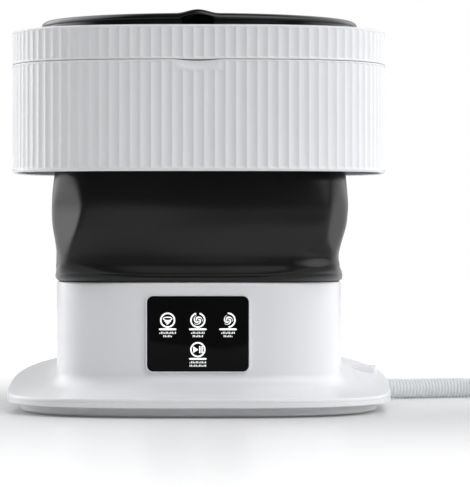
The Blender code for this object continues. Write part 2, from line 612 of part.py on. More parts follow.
def lid():
    bottom = 0.3121
    plug = 0.1090
    disc = turned("lid", [(0.0, LID_TOP + 0.0004), (0.0900, LID_TOP + 0.0002),
                          (0.1270, LID_TOP - 0.0004), (0.1308, LID_TOP - 0.0018),
                          (LID_RADIUS, LID_TOP - 0.0034), (0.1316, LID_TOP - 0.0041),
                          (0.1302, LID_TOP - 0.0044), (0.1302, bottom + 0.0016), (0.1290, bottom),
                          (plug, bottom), (plug, 0.3040), (plug - 0.0030, 0.3040),
                          (plug - 0.0030, 0.3190), (0.0, 0.3190)], black_gloss, 48)
    pull = ball("pull_arch", (0.0, -0.1150, LID_TOP - 0.0006), (0.0145, 0.0170, 0.0035), 16)
    join(disc, helper("pull_arch", pull))
    finger = ball("pull_recess", (0.0, -0.1325, 0.3163), (0.0125, 0.0075, 0.0032), 12)
    cut(disc, helper("pull_recess", finger))
    tab = block("lid_tab", (-0.0120, 0.1270, 0.3130), (0.0120, LID_HINGE_Y, 0.3168))
    join(disc, helper("lid_tab", tab))
    barrel = rod("lid_barrel", 0.0024, (-0.0120, LID_HINGE_Y, LID_HINGE_Z),
                 (0.0120, LID_HINGE_Y, LID_HINGE_Z), 16)
    join(disc, helper("lid_barrel", barrel))
    bore = rod("lid_bore", 0.0011, (-0.014, LID_HINGE_Y, LID_HINGE_Z),
               (0.014, LID_HINGE_Y, LID_HINGE_Z), 12)
    cut(disc, helper("lid_bore", bore))
    node("lid_hinge_pin", rod("lid_hinge_pin", 0.0010, (-0.0163, LID_HINGE_Y, LID_HINGE_Z),
                              (0.0163, LID_HINGE_Y, LID_HINGE_Z), 12), steel)
    turned("lid_gasket", [(0.1143, 0.3085), (0.1146, 0.3070), (0.1143, 0.3050), (plug + GAP, 0.3050),
                          (plug + GAP, 0.3085)], black_rubber, 48)


# Drain hose: the collar on the outlet, the hose, its coil and the cuff on its end

HOSE_ROUTE = [(0.1226, 0.1280, 0.0120), (0.1400, 0.1284, 0.0112), (0.1580, 0.1310, 0.0095),
              (0.1770, 0.1366, 0.0088), (0.1960, 0.1433, 0.0088), (0.2150, 0.1494, 0.0088),
              (0.2340, 0.1532, 0.0088), (0.2530, 0.1543, 0.0088), (0.2700, 0.1550, 0.0088),
              (0.2900, 0.1572, 0.0088)]


def hose():
    turned("hose_collar", [(0.0078, 0.0180), (0.0100, 0.0172), (0.0105, 0.0150), (0.0105, 0.0020),
                           (0.0098, 0.0), (0.0075, 0.0), (0.0075, 0.0180)],
           hose_white, 20, (0.1042, OUTLET_Y, OUTLET_Z), (0.0, math.radians(90), 0.0))
    cable("hose_run", HOSE_ROUTE, HOSE_RADIUS, hose_white, 2)
    turned("hose_coil", [(COIL_OUTER, 2 * HOSE_RADIUS), (COIL_OUTER, 0.0001), (COIL_INNER, 0.0001),
                         (COIL_INNER, 2 * HOSE_RADIUS)], hose_white, 36, (COIL_X, COIL_Y, 0.0))
    angle = math.radians(-60)
    reach = 0.0630
    middle = Vector((COIL_X + reach * math.cos(angle), COIL_Y + reach * math.sin(angle), 0.0098))
    along = Vector((math.sin(angle), -math.cos(angle), 0.0)) * 0.016
    cuff = node("hose_cuff", rod("hose_cuff", 0.0096, middle - along, middle + along, 24), dark_plastic)
    cut(cuff, helper("cuff_bore", rod("cuff_bore", 0.0068, middle, middle + along * 1.2, 20)))


base_housing()
base_plate()
feet_and_screws()
controls()
drive()
tub_pan()
drain()
bellows()
rim()
lid_ring()
lid()
hose()
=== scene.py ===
"""A small folding washing machine: a wide-footed base with a touch panel, a soft black
bellows tub, two ribbed white rings, a round black lid and a corrugated drain hose."""

import math

import bmesh
import bpy
import numpy as np
from mathutils import Matrix, Vector


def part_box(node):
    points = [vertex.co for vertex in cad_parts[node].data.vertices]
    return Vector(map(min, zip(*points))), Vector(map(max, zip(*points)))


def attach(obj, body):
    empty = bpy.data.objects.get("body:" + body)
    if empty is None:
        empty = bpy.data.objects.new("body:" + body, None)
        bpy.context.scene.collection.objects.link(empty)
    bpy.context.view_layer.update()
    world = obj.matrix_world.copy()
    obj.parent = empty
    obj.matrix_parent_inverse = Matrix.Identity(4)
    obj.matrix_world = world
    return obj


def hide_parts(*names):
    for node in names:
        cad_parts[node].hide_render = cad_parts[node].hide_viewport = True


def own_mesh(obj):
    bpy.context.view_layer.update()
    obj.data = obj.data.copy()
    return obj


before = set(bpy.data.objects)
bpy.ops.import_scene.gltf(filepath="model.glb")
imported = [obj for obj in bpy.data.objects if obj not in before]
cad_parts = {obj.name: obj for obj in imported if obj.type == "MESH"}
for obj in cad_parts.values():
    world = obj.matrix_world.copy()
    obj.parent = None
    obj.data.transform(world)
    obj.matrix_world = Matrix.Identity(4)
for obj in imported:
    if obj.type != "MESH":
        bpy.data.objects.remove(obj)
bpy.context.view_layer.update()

scene = bpy.context.scene


# --- Camera -------------------------------------------------------------------------------
# A long lens, level, a little below half the machine's height, looking at the front from a
# little right of its middle, which leaves room for the hose.
CAMERA_RIGHT = 0.0298
CAMERA_DISTANCE = 2.700
CAMERA_HEIGHT = 0.1555

lens = bpy.data.cameras.new("camera")
lens.sensor_width = 36.0
lens.lens = 238.0
lens.shift_y = -0.0441
lens.clip_end = 60.0
camera = bpy.data.objects.new("camera", lens)
camera.location = (CAMERA_RIGHT, -CAMERA_DISTANCE, CAMERA_HEIGHT)
camera.rotation_euler = (math.radians(90), 0.0, 0.0)
scene.collection.objects.link(camera)
scene.camera = camera


# --- Floor and light ----------------------------------------------------------------------
# A pale seamless floor in a dim white studio. One soft lamp stands behind at each side, a key
# lamp high at the front right, and the sweep behind the machine glows.
FLOOR_WIDE = 3.0
FLOOR_FRONT = -0.95
FLOOR_BACK = 3.0

bm = bmesh.new()
floor_size = Matrix.Diagonal((FLOOR_WIDE, (FLOOR_BACK - FLOOR_FRONT) / 2, 1.0, 1.0))
floor_place = Matrix.Translation((0.0, (FLOOR_BACK + FLOOR_FRONT) / 2, 0.0))
bmesh.ops.create_grid(bm, x_segments=1, y_segments=1, size=1.0, matrix=floor_place @ floor_size)
floor_mesh = bpy.data.meshes.new("floor")
bm.to_mesh(floor_mesh)
bm.free()
floor = bpy.data.objects.new("floor", floor_mesh)
scene.collection.objects.link(floor)

floor_white = bpy.data.materials.new("floor_white")
floor_white.use_nodes = True
floor_shader = floor_white.node_tree.nodes["Principled BSDF"]
floor_shader.inputs["Base Color"].default_value = (0.80, 0.80, 0.80, 1.0)
floor_shader.inputs["Roughness"].default_value = 0.30
floor_shader.inputs["Specular IOR Level"].default_value = 0.10
floor_shader.inputs["Emission Color"].default_value = (1.0, 1.0, 1.0, 1.0)
floor_nodes, floor_wire = floor_white.node_tree.nodes, floor_white.node_tree.links.new
# The floor glows by itself, faintly next to the machine and more strongly further away: painted light that keeps
# the far floor white, and painted shade round the machine's foot.
floor_spot = floor_nodes.new("ShaderNodeTexCoord")
floor_away = floor_nodes.new("ShaderNodeVectorMath")
floor_away.operation = "LENGTH"
floor_wire(floor_spot.outputs["Object"], floor_away.inputs[0])
floor_painted_glow = floor_nodes.new("ShaderNodeMapRange")
floor_painted_glow.inputs["From Min"].default_value = 0.22
floor_painted_glow.inputs["From Max"].default_value = 0.85
floor_painted_glow.inputs["To Min"].default_value = 0.04
floor_painted_glow.inputs["To Max"].default_value = 0.34
floor_wire(floor_away.outputs["Value"], floor_painted_glow.inputs["Value"])
floor_wire(floor_painted_glow.outputs[0], floor_shader.inputs["Emission Strength"])
floor_mesh.materials.append(floor_white)

# Round soft lamps, each with its bearing in degrees from the camera's side (90 is +X), its
# height in degrees, how far from its middle it is full and where it ends, and its brightness.
LAMPS = {
    "rim_left": (-120, 25, 15, 45, 2.4),
    "rim_right": (120, 20, 15, 45, 1.2),
    "key_right": (50, 45, 15, 45, 2.4),
    "sweep_behind": (180, 5, 20, 60, 0.6),
}
ROOM_GLOW = 0.08

world = bpy.data.worlds.new("studio")
world.use_nodes = True
scene.world = world
room, wire = world.node_tree.nodes, world.node_tree.links.new
room.clear()
way = room.new("ShaderNodeTexCoord")


def lamp(bearing, height, full, end, brightness):
    """One lamp's light by direction: full near its middle, fading smoothly to nothing."""
    turn, climb = math.radians(bearing), math.radians(height)
    facing = room.new("ShaderNodeVectorMath")
    facing.operation = "DOT_PRODUCT"
    facing.inputs[1].default_value = (math.cos(climb) * math.sin(turn), -math.cos(climb) * math.cos(turn),
                                      math.sin(climb))
    wire(way.outputs["Generated"], facing.inputs[0])
    spread = room.new("ShaderNodeMapRange")
    spread.interpolation_type = "SMOOTHSTEP"
    spread.inputs["From Min"].default_value = math.cos(math.radians(end))
    spread.inputs["From Max"].default_value = math.cos(math.radians(full))
    spread.inputs["To Max"].default_value = brightness
    wire(facing.outputs["Value"], spread.inputs["Value"])
    return spread.outputs[0]


lit = room.new("ShaderNodeBackground")
lit.inputs["Color"].default_value = (0.985, 0.99, 1.0, 1.0)
total = room.new("ShaderNodeValue")
total.outputs[0].default_value = ROOM_GLOW
for lamp_values in LAMPS.values():
    both = room.new("ShaderNodeMath")
    wire(total.outputs[0], both.inputs[0])
    wire(lamp(*lamp_values), both.inputs[1])
    total = both
wire(total.outputs[0], lit.inputs["Strength"])
seen = room.new("ShaderNodeBackground")
seen.inputs["Color"].default_value = (1.0, 1.0, 1.0, 1.0)
rays = room.new("ShaderNodeLightPath")
either = room.new("ShaderNodeMixShader")
wire(rays.outputs["Is Camera Ray"], either.inputs[0])
wire(lit.outputs[0], either.inputs[1])
wire(seen.outputs[0], either.inputs[2])
output = room.new("ShaderNodeOutputWorld")
wire(either.outputs[0], output.inputs["Surface"])
scene.view_settings.view_transform = "Standard"
# --- Drain hose ---------------------------------------------------------------------------
# About a metre of 17 mm corrugated drain hose in milky plastic. It leaves the outlet at the back
# right corner, lies on the floor and ends in a flat coil beyond the view. Its ribs are
# blown rings, one every 3 mm.
HOSE_DIAMETER = 0.0174
HOSE_LENGTH = 1.05
HOSE_RIB_PITCH = 0.00305
HOSE_RIB_DEPTH = 0.0009
HOSE_LIE = HOSE_DIAMETER / 2 + 0.0001
HOSE_ROUTE = [(0.1226, 0.1280, 0.0120), (0.1400, 0.1284, 0.0112), (0.1580, 0.1310, 0.0095),
              (0.1770, 0.1366, 0.0088), (0.1960, 0.1433, 0.0088), (0.2150, 0.1494, 0.0088),
              (0.2340, 0.1532, 0.0088), (0.2530, 0.1543, 0.0088), (0.2700, 0.1550, 0.0088),
              (0.2900, 0.1572, 0.0088)]
COIL_MIDDLE = Vector((0.364, 0.062, 0.0))
COIL_RADIUS = 0.1044
COIL_STEP = 0.0178
COIL_TURNS = 1.105
LAST_BEND = 0.0700
CUFF_BEARING = math.radians(-60)


def smooth_route(points, per_span):
    """Points on a smooth curve through the given ones."""
    ends = [2 * Vector(points[0]) - Vector(points[1]), *map(Vector, points),
            2 * Vector(points[-1]) - Vector(points[-2])]
    route = []
    for a, b, c, d in zip(ends, ends[1:], ends[2:], ends[3:]):
        for step in range(per_span):
            t = step / per_span
            route.append(0.5 * (2 * b + (c - a) * t + (2 * a - 5 * b + 4 * c - d) * t * t
                                + (3 * b - 3 * c + d - a) * t ** 3))
    return route + [Vector(points[-1])]


def hose_line():
    """The hose's centre line: the laid stretch, the coil, and the tighter last bend inside it."""
    laid = smooth_route([*HOSE_ROUTE, (0.3240, 0.1640, HOSE_LIE),
                         *map(coil_point, (0.0, 1 / 24, 2 / 24))], 12)
    count = round(96 * COIL_TURNS)
    coiled = [coil_point(COIL_TURNS * step / count) for step in range(9, count)]
    leave = math.radians(90) - 2 * math.pi * COIL_TURNS
    out = Vector((math.cos(leave), math.sin(leave), 0.0))
    middle = coil_point(COIL_TURNS) - out * LAST_BEND
    inner = [middle + Vector((math.cos(angle), math.sin(angle), 0.0)) * LAST_BEND
             for angle in np.linspace(leave, CUFF_BEARING - 2 * math.pi, 40)]
    ahead = Vector((math.sin(CUFF_BEARING), -math.cos(CUFF_BEARING), 0.0))
    return laid + coiled + inner + [inner[-1] + ahead * 0.004 * step for step in range(1, 4)]


def coil_point(turn):
    """A point on the coil, which winds inwards clockwise from its far side."""
    angle = math.radians(90) - 2 * math.pi * turn
    radius = COIL_RADIUS - COIL_STEP * turn
    return COIL_MIDDLE + Vector((radius * math.cos(angle), radius * math.sin(angle), HOSE_LIE))


def even_steps(line, spacing, length):
    """Points along the line at an even spacing, no further than the given length."""
    points = np.array([tuple(p) for p in line])
    along = np.concatenate([[0.0], np.cumsum(np.linalg.norm(np.diff(points, axis=0), axis=1))])
    wanted = np.arange(0.0, min(length, along[-1]), spacing)
    return [Vector([np.interp(s, along, points[:, axis]) for axis in range(3)]) for s in wanted]


def add_piece(name, bm, finish, body, smooth_angle=30.0):
    """Makes a piece of a bmesh, shaded smooth up to an angle, riding on a body."""
    mesh = bpy.data.meshes.new(name)
    bm.to_mesh(mesh)
    bm.free()
    mesh.materials.append(finish)
    mesh.shade_smooth()
    mesh.set_sharp_from_angle(angle=math.radians(smooth_angle))
    made = bpy.data.objects.new(name, mesh)
    scene.collection.objects.link(made)
    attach(made, body)
    return made


def tube_along(rings, radii, sides):
    """A tube through ring centres, each with its own radius, closed at both ends."""
    bm = bmesh.new()
    bmesh.ops.create_circle(bm, segments=sides, radius=1.0)
    ring = list(bm.verts)
    directions = [(math.cos(2 * math.pi * i / sides), math.sin(2 * math.pi * i / sides))
                  for i in range(sides)]
    up = Vector((0.0, 0.0, 1.0))

    def place(verts, index):
        before, after = rings[max(index - 1, 0)], rings[min(index + 1, len(rings) - 1)]
        ahead = (after - before).normalized()
        side = ahead.cross(up).normalized()
        top = side.cross(ahead)
        for vert, (across, rise) in zip(verts, directions):
            vert.co = rings[index] + (side * across + top * rise) * radii[index]

    place(ring, 0)
    first = ring
    for index in range(1, len(rings)):
        edges = [bm.edges.get((ring[i], ring[(i + 1) % sides])) for i in range(sides)]
        grown = bmesh.ops.extrude_edge_only(bm, edges=edges)["geom"]
        fresh = {item for item in grown if isinstance(item, bmesh.types.BMVert)}
        ring = [next(e.other_vert(v) for e in v.link_edges if e.other_vert(v) in fresh) for v in ring]
        place(ring, index)
    bmesh.ops.contextual_create(bm, geom=first)
    bmesh.ops.contextual_create(bm, geom=ring)
    bmesh.ops.recalc_face_normals(bm, faces=bm.faces)
    return bm


def node_group(name, inputs, outputs):
    """An empty shader group with named float or colour sockets."""
    group = bpy.data.node_groups.new(name, "ShaderNodeTree")
    for socket, kind, value in inputs:
        made = group.interface.new_socket(socket, in_out="INPUT", socket_type=kind)
        made.default_value = value
    for socket, kind in outputs:
        group.interface.new_socket(socket, in_out="OUTPUT", socket_type=kind)
    return group, group.nodes.new("NodeGroupInput"), group.nodes.new("NodeGroupOutput")


def moulding_group():
    """Moulded plastic: a colour that drifts a little, a roughness that varies, and a fine skin."""
    group, entry, result = node_group(
        "moulding",
        [("Colour", "NodeSocketColor", (0.8, 0.8, 0.8, 1.0)), ("Drift", "NodeSocketFloat", 0.02),
         ("Roughness", "NodeSocketFloat", 0.3), ("Spread", "NodeSocketFloat", 0.06),
         ("Grain", "NodeSocketFloat", 900.0), ("Skin", "NodeSocketFloat", 0.1)],
        [("Colour", "NodeSocketColor"), ("Roughness", "NodeSocketFloat"), ("Height", "NodeSocketFloat")])
    new, wire = group.nodes.new, group.links.new
    place = new("ShaderNodeTexCoord")
    broad = new("ShaderNodeTexNoise")
    broad.inputs["Scale"].default_value = 14.0
    broad.inputs["Detail"].default_value = 3.0
    fine = new("ShaderNodeTexNoise")
    fine.inputs["Detail"].default_value = 2.0
    for texture in (broad, fine):
        wire(place.outputs["Object"], texture.inputs["Vector"])
    wire(entry.outputs["Grain"], fine.inputs["Scale"])

    def maths(operation, first, second):
        made = new("ShaderNodeMath")
        made.operation = operation
        for socket, value in zip(made.inputs, (first, second)):
            if isinstance(value, float):
                socket.default_value = value
            else:
                wire(value, socket)
        return made.outputs[0]

    centred = maths("SUBTRACT", broad.outputs["Fac"], 0.5)
    shade = maths("ADD", maths("MULTIPLY", centred, entry.outputs["Drift"]), 1.0)
    tint = new("ShaderNodeVectorMath")
    tint.operation = "SCALE"
    wire(entry.outputs["Colour"], tint.inputs[0])
    wire(shade, tint.inputs["Scale"])
    wire(tint.outputs[0], result.inputs["Colour"])
    wire(maths("ADD", maths("MULTIPLY", centred, entry.outputs["Spread"]), entry.outputs["Roughness"]),
         result.inputs["Roughness"])
    wire(maths("MULTIPLY", fine.outputs["Fac"], entry.outputs["Skin"]), result.inputs["Height"])
    return group


moulding = moulding_group()


def moulded(name, colour, roughness, drift=0.02, spread=0.06, grain=900.0, skin=0.1, bump=0.00002,
            **settings):
    """A plastic or rubber finish: the moulding group feeding one Principled shader."""
    made = bpy.data.materials.new(name)
    made.use_nodes = True
    nodes, links = made.node_tree.nodes, made.node_tree.links
    shader = nodes["Principled BSDF"]
    surface = nodes.new("ShaderNodeGroup")
    surface.node_tree = moulding
    surface.inputs["Colour"].default_value = (*colour, 1.0)
    for socket, value in (("Drift", drift), ("Roughness", roughness), ("Spread", spread), ("Grain", grain),
                          ("Skin", skin)):
        surface.inputs[socket].default_value = value
    relief = nodes.new("ShaderNodeBump")
    relief.inputs["Strength"].default_value = 1.0
    relief.inputs["Distance"].default_value = bump
    links.new(surface.outputs["Colour"], shader.inputs["Base Color"])
    links.new(surface.outputs["Roughness"], shader.inputs["Roughness"])
    links.new(surface.outputs["Height"], relief.inputs["Height"])
    links.new(relief.outputs["Normal"], shader.inputs["Normal"])
    for socket, value in settings.items():
        shader.inputs[socket.replace("_", " ")].default_value = value
    return made


milky_hose = moulded("milky_hose", (0.84, 0.86, 0.88), 0.30, drift=0.05, Transmission_Weight=0.25)

hose_rings = even_steps(hose_line(), HOSE_RIB_PITCH / 4, HOSE_LENGTH)
hose_radii = [HOSE_DIAMETER / 2 - HOSE_RIB_DEPTH * (0.0, 0.35, 1.0, 0.35)[i % 4]
              for i in range(len(hose_rings))]
hose = add_piece("drain_hose", tube_along(hose_rings, hose_radii, 24), milky_hose, "base", 60.0)
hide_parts("hose_run", "hose_coil")


def turned(profile, steps, turn=None, at=(0.0, 0.0, 0.0)):
    """A bmesh turned round the Z axis from a profile of (radius, height), then turned and placed.

    A profile that starts and ends on the axis closes there; any other is a ring.
    """
    bm = bmesh.new()
    verts = [bm.verts.new((radius, 0.0, height)) for radius, height in profile]
    edges = [bm.edges.new(pair) for pair in zip(verts, verts[1:])]
    if profile[0][0] > 1e-9:
        edges.append(bm.edges.new((verts[-1], verts[0])))
    bmesh.ops.spin(bm, geom=verts + edges, cent=(0, 0, 0), axis=(0, 0, 1), angle=2 * math.pi,
                   steps=steps, use_merge=True)
    bmesh.ops.remove_doubles(bm, verts=bm.verts, dist=1e-7)
    bmesh.ops.recalc_face_normals(bm, faces=bm.faces)
    place = Matrix.Translation(at) @ (turn or Matrix.Identity(4))
    bmesh.ops.transform(bm, matrix=place, verts=bm.verts)
    return bm


# The cuff is a plain grey sleeve on the hose's end, with a rolled lip and two grip rings.
dark_plastic = moulded("dark_plastic", (0.050, 0.051, 0.055), 0.42, grain=1400.0)
cuff_profile = [(0.0064, 0.0), (0.0088, 0.0), (0.0094, 0.0012), (0.0094, 0.0060), (0.0097, 0.0066),
                (0.0097, 0.0082), (0.0093, 0.0090), (0.0093, 0.0110), (0.0097, 0.0118), (0.0097, 0.0134),
                (0.0093, 0.0142), (0.0091, 0.0290), (0.0096, 0.0300), (0.0096, 0.0316), (0.0088, 0.0320),
                (0.0072, 0.0320), (0.0068, 0.0300), (0.0064, 0.0200)]
cuff_ahead = (hose_rings[-1] - hose_rings[-5]).normalized()
cuff_turn = cuff_ahead.to_track_quat("Z", "Y").to_matrix().to_4x4()
cuff_start = hose_rings[-1] - cuff_ahead * 0.012 + Vector((0.0, 0.0, 0.0010))
cuff = add_piece("hose_cuff_sleeve", turned(cuff_profile, 48, cuff_turn, cuff_start), dark_plastic, "base")
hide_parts("hose_cuff")

# The collar is the screwed union that holds the hose on the outlet, with a knurled band.
outlet_turn = Matrix.Rotation(math.radians(90), 4, "Y")
outlet_place = Vector((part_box("hose_collar")[0].x, HOSE_ROUTE[0][1], HOSE_ROUTE[0][2]))
collar_profile = [(0.0079, 0.0), (0.0098, 0.0), (0.0104, 0.0008), (0.0104, 0.0030), (0.0100, 0.0036),
                  (0.0100, 0.0128), (0.0104, 0.0134), (0.0104, 0.0158), (0.0098, 0.0170), (0.0092, 0.0180),
                  (0.0079, 0.0180)]
collar_white = moulded("collar_white", (0.80, 0.81, 0.83), 0.30)
bm = turned(collar_profile, 72, outlet_turn, outlet_place)
for vert in bm.verts:
    along = vert.co.x - outlet_place.x
    if 0.0036 < along < 0.0134 or abs(along - 0.0036) < 1e-6 or abs(along - 0.0128) < 1e-6:
        away = Vector((0.0, vert.co.y - outlet_place.y, vert.co.z - outlet_place.z))
        bearing = math.atan2(away.z, away.y)
        vert.co += away.normalized() * 0.0004 * (round(bearing * 36 / math.pi) % 2)
collar = add_piece("hose_union", bm, collar_white, "base")
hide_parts("hose_collar")


# --- Plinth and feet ----------------------------------------------------------------------
# The plinth is the tray that closes the base from below, a satin white moulding. It stands
# on four black rubber feet pressed into its underside, with four screws up into the housing.
PLINTH_HALF = 0.148
PLINTH_BOTTOM = 0.0012
FOOT_POWER = 3.0
OUTLET_Y = HOSE_ROUTE[0][1]
OUTLET_Z = HOSE_ROUTE[0][2]


def reach(half, power, angle):
    """Distance from the middle to a rounded-square outline |x|^p + |y|^p = half^p."""
    return half / (np.abs(np.cos(angle)) ** power + np.abs(np.sin(angle)) ** power) ** (1 / power)


def ring_points(half, height, power, angles):
    """One ring of points on a rounded-square outline; height may be one number or one per angle."""
    far = reach(half, power, angles)
    return np.stack([far * np.cos(angles), far * np.sin(angles), np.broadcast_to(height, angles.shape)],
                    axis=1)


def loft(rings, closed=True):
    """A bmesh through rings of points: a grid rolled up round the piece, its seams merged.

    A closed loft joins its last ring to its first; an open one gets a flat face at each end.
    """
    levels, count = len(rings), len(rings[0])
    rows = levels if closed else levels - 1
    bm = bmesh.new()
    bmesh.ops.create_grid(bm, x_segments=count, y_segments=rows, size=1.0)
    for vert in bm.verts:
        column = round((vert.co.x + 1) / 2 * count) % count
        vert.co = rings[round((vert.co.y + 1) / 2 * rows) % levels][column]
    bmesh.ops.remove_doubles(bm, verts=bm.verts, dist=1e-7)
    if not closed:
        bmesh.ops.holes_fill(bm, edges=[edge for edge in bm.edges if edge.is_boundary], sides=0)
    bmesh.ops.recalc_face_normals(bm, faces=bm.faces)
    return bm


def round_square(levels, power, count=288, closed=True):
    """A loft through levels of (half width, height) or (half width, height, own power)."""
    angles = 2 * math.pi * np.arange(count) / count
    return loft([ring_points(level[0], level[1], (*level, power)[2], angles) for level in levels], closed)


def bar(radius, start, end, sides=48):
    """A round bar between two points."""
    start, end = Vector(start), Vector(end)
    turn = (end - start).to_track_quat("Z", "Y").to_matrix().to_4x4()
    bm = bmesh.new()
    bmesh.ops.create_cone(bm, cap_ends=True, segments=sides, radius1=radius, radius2=radius,
                          depth=(end - start).length, matrix=Matrix.Translation((start + end) / 2) @ turn)
    return bm


def brick(low, high, corner=0.0, along=None, segments=6, soften=0.0):
    """A block between two corners, with its edges along one axis rounded, then all softened."""
    low, high = Vector(low), Vector(high)
    bm = bmesh.new()
    bmesh.ops.create_cube(bm, size=1.0, matrix=Matrix.Translation((low + high) / 2)
                          @ Matrix.Diagonal((*(high - low), 1.0)))
    if corner:
        picked = [e for e in bm.edges if abs((e.verts[0].co - e.verts[1].co)["xyz".index(along)]) > 1e-6]
        bmesh.ops.bevel(bm, geom=picked, offset=corner, offset_type="OFFSET", segments=segments,
                        profile=0.5, affect="EDGES", material=-1)
    if soften:
        sharp = [e for e in bm.edges if e.calc_face_angle(0.0) > math.radians(40)]
        bmesh.ops.bevel(bm, geom=sharp, offset=soften, offset_type="OFFSET", segments=3, profile=0.5,
                        affect="EDGES", material=-1)
    return bm


def carve(piece, *tools):
    """Cuts closed shapes out of a piece for good."""
    for bm in tools:
        bmesh.ops.recalc_face_normals(bm, faces=bm.faces)
        mesh = bpy.data.meshes.new("tool")
        bm.to_mesh(mesh)
        bm.free()
        tool = bpy.data.objects.new("tool", mesh)
        scene.collection.objects.link(tool)
        step = piece.modifiers.new("cut", "BOOLEAN")
        step.object = tool
        step.solver = "EXACT"
        bpy.context.view_layer.update()
        graph = bpy.context.evaluated_depsgraph_get()
        carved = bpy.data.meshes.new_from_object(piece.evaluated_get(graph))
        piece.modifiers.clear()
        piece.data = carved
        bpy.data.objects.remove(tool, do_unlink=True)
    piece.data.shade_smooth()
    piece.data.set_sharp_from_angle(angle=math.radians(30))


satin_white = moulded("satin_white", (0.79, 0.79, 0.805), 0.42, grain=1300.0, skin=0.6)

plinth_levels = [(PLINTH_HALF - 0.0016, PLINTH_BOTTOM), (PLINTH_HALF - 0.0007, PLINTH_BOTTOM + 0.0003),
                 (PLINTH_HALF, PLINTH_BOTTOM + 0.0013), (PLINTH_HALF + 0.0003, 0.0134),
                 (PLINTH_HALF - 0.0028, 0.0134), (PLINTH_HALF - 0.0028, 0.0044)]
plinth = add_piece("plinth", round_square(plinth_levels, FOOT_POWER, 288, closed=False), satin_white, "base")
carve(plinth, brick((0.084, OUTLET_Y - 0.0118, 0.0005), (0.160, OUTLET_Y + 0.0118, 0.030)))
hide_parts("base_plate")

foot_rubber = moulded("foot_rubber", (0.016, 0.016, 0.017), 0.72, drift=0.15, grain=2200.0, skin=1.0)
for number in range(1, 5):
    low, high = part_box(f"rubber_foot_{number}")
    foot_profile = [(0.0, 0.0027), (0.0087, 0.0027), (0.0087, 0.0010), (0.0085, 0.0004), (0.0079, 0.0001),
                    (0.0074, 0.0), (0.0052, 0.0), (0.0048, 0.0005), (0.0, 0.0005)]
    middle = ((low.x + high.x) / 2, (low.y + high.y) / 2, 0.0)
    foot = add_piece(f"foot_{number}", turned(foot_profile, 48, at=middle), foot_rubber, "base")
    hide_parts(f"rubber_foot_{number}")


# --- Steel and zinc -----------------------------------------------------------------------
# Screws, pins and shafts are turned bright steel; the motor's can and the bearing housing
# are zinc plated. Both show fine turning marks and small changes of shine.
def turned_metal(name, colour, roughness, marks):
    made = bpy.data.materials.new(name)
    made.use_nodes = True
    nodes, wire = made.node_tree.nodes, made.node_tree.links.new
    shader = nodes["Principled BSDF"]
    place = nodes.new("ShaderNodeTexCoord")
    stretch = nodes.new("ShaderNodeMapping")
    stretch.inputs["Scale"].default_value = (60.0, 60.0, 4200.0)
    lines = nodes.new("ShaderNodeTexNoise")
    lines.inputs["Scale"].default_value = 1.0
    lines.inputs["Detail"].default_value = 4.0
    wire(place.outputs["Object"], stretch.inputs["Vector"])
    wire(stretch.outputs["Vector"], lines.inputs["Vector"])
    shine = nodes.new("ShaderNodeMapRange")
    shine.inputs["To Min"].default_value = roughness - 0.06
    shine.inputs["To Max"].default_value = roughness + 0.10
    wire(lines.outputs["Fac"], shine.inputs["Value"])
    wire(shine.outputs[0], shader.inputs["Roughness"])
    shade = nodes.new("ShaderNodeMix")
    shade.data_type = "RGBA"
    shade.inputs[6].default_value = (*(0.80 * part for part in colour), 1.0)
    shade.inputs[7].default_value = (*colour, 1.0)
    wire(lines.outputs["Fac"], shade.inputs["Factor"])
    wire(shade.outputs[2], shader.inputs["Base Color"])
    relief = nodes.new("ShaderNodeBump")
    relief.inputs["Strength"].default_value = 1.0
    relief.inputs["Distance"].default_value = marks
    wire(lines.outputs["Fac"], relief.inputs["Height"])
    wire(relief.outputs["Normal"], shader.inputs["Normal"])
    shader.inputs["Metallic"].default_value = 1.0
    return made


def finish_node(name, finish):
    """Gives a carried-over CAD node its finish."""
    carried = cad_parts[name]
    carried.data.materials.clear()
    carried.data.materials.append(finish)


bright_steel = turned_metal("bright_steel", (0.64, 0.64, 0.65), 0.24, 0.00001)
zinc_plate = turned_metal("zinc_plate", (0.56, 0.57, 0.59), 0.40, 0.00002)
for name in ("base_screw_1", "base_screw_2", "base_screw_3", "base_screw_4", "motor_bracket", "motor_shaft",
             "pulsator_shaft", "lower_bearing", "upper_bearing", "ring_hinge_pin", "lid_hinge_pin"):
    finish_node(name, bright_steel)
for name in ("motor", "bearing_housing"):
    finish_node(name, zinc_plate)


# --- Housing ------------------------------------------------------------------------------
# One glossy white moulding: a wide skirt whose edge sweeps up towards the back, a trumpet
# curve into upright walls, a rolled top edge, and a low fairing over the drain outlet.
FOOT_HALF = 0.1593
SKIRT_BOTTOM = 0.0082
SKIRT_WIDE = 0.1580      # where the trumpet curve starts
BODY_HALF = 0.118
BODY_POWER = 3.6
BODY_TOP = 0.1071
TRUMPET = SKIRT_WIDE - BODY_HALF
HOUSING_COLUMNS = 384

gloss_white = moulded("gloss_white", (0.835, 0.838, 0.855), 0.24, drift=0.004, spread=0.02, grain=420.0,
                      skin=0.15, bump=0.00002)

housing_angles = 2 * math.pi * np.arange(HOUSING_COLUMNS) / HOUSING_COLUMNS
edge_y = reach(FOOT_HALF, FOOT_POWER, housing_angles) * np.sin(housing_angles)
skirt_edge = 0.0197 + 0.0855 * edge_y + 0.385 * edge_y ** 2


def skirt_ring(half, above, power=FOOT_POWER):
    """A ring at a height above the skirt's edge."""
    return ring_points(half, skirt_edge + above, power, housing_angles)


def band_ring(half, share):
    """A ring on the skirt's upright band, at a share of the way from its bottom to its edge."""
    return ring_points(half, SKIRT_BOTTOM + share * (skirt_edge - SKIRT_BOTTOM), FOOT_POWER, housing_angles)


def trumpet_ring(inset, share):
    """A ring on the curve from the skirt up into the wall, moved inwards and down by an inset."""
    above = 0.0055 * share + 0.0120 * (1 - math.sqrt(1 - share ** 4))
    power = FOOT_POWER + (BODY_POWER - FOOT_POWER) * share
    return skirt_ring(SKIRT_WIDE - TRUMPET * share - inset * share, above - inset * (1 - share), power)


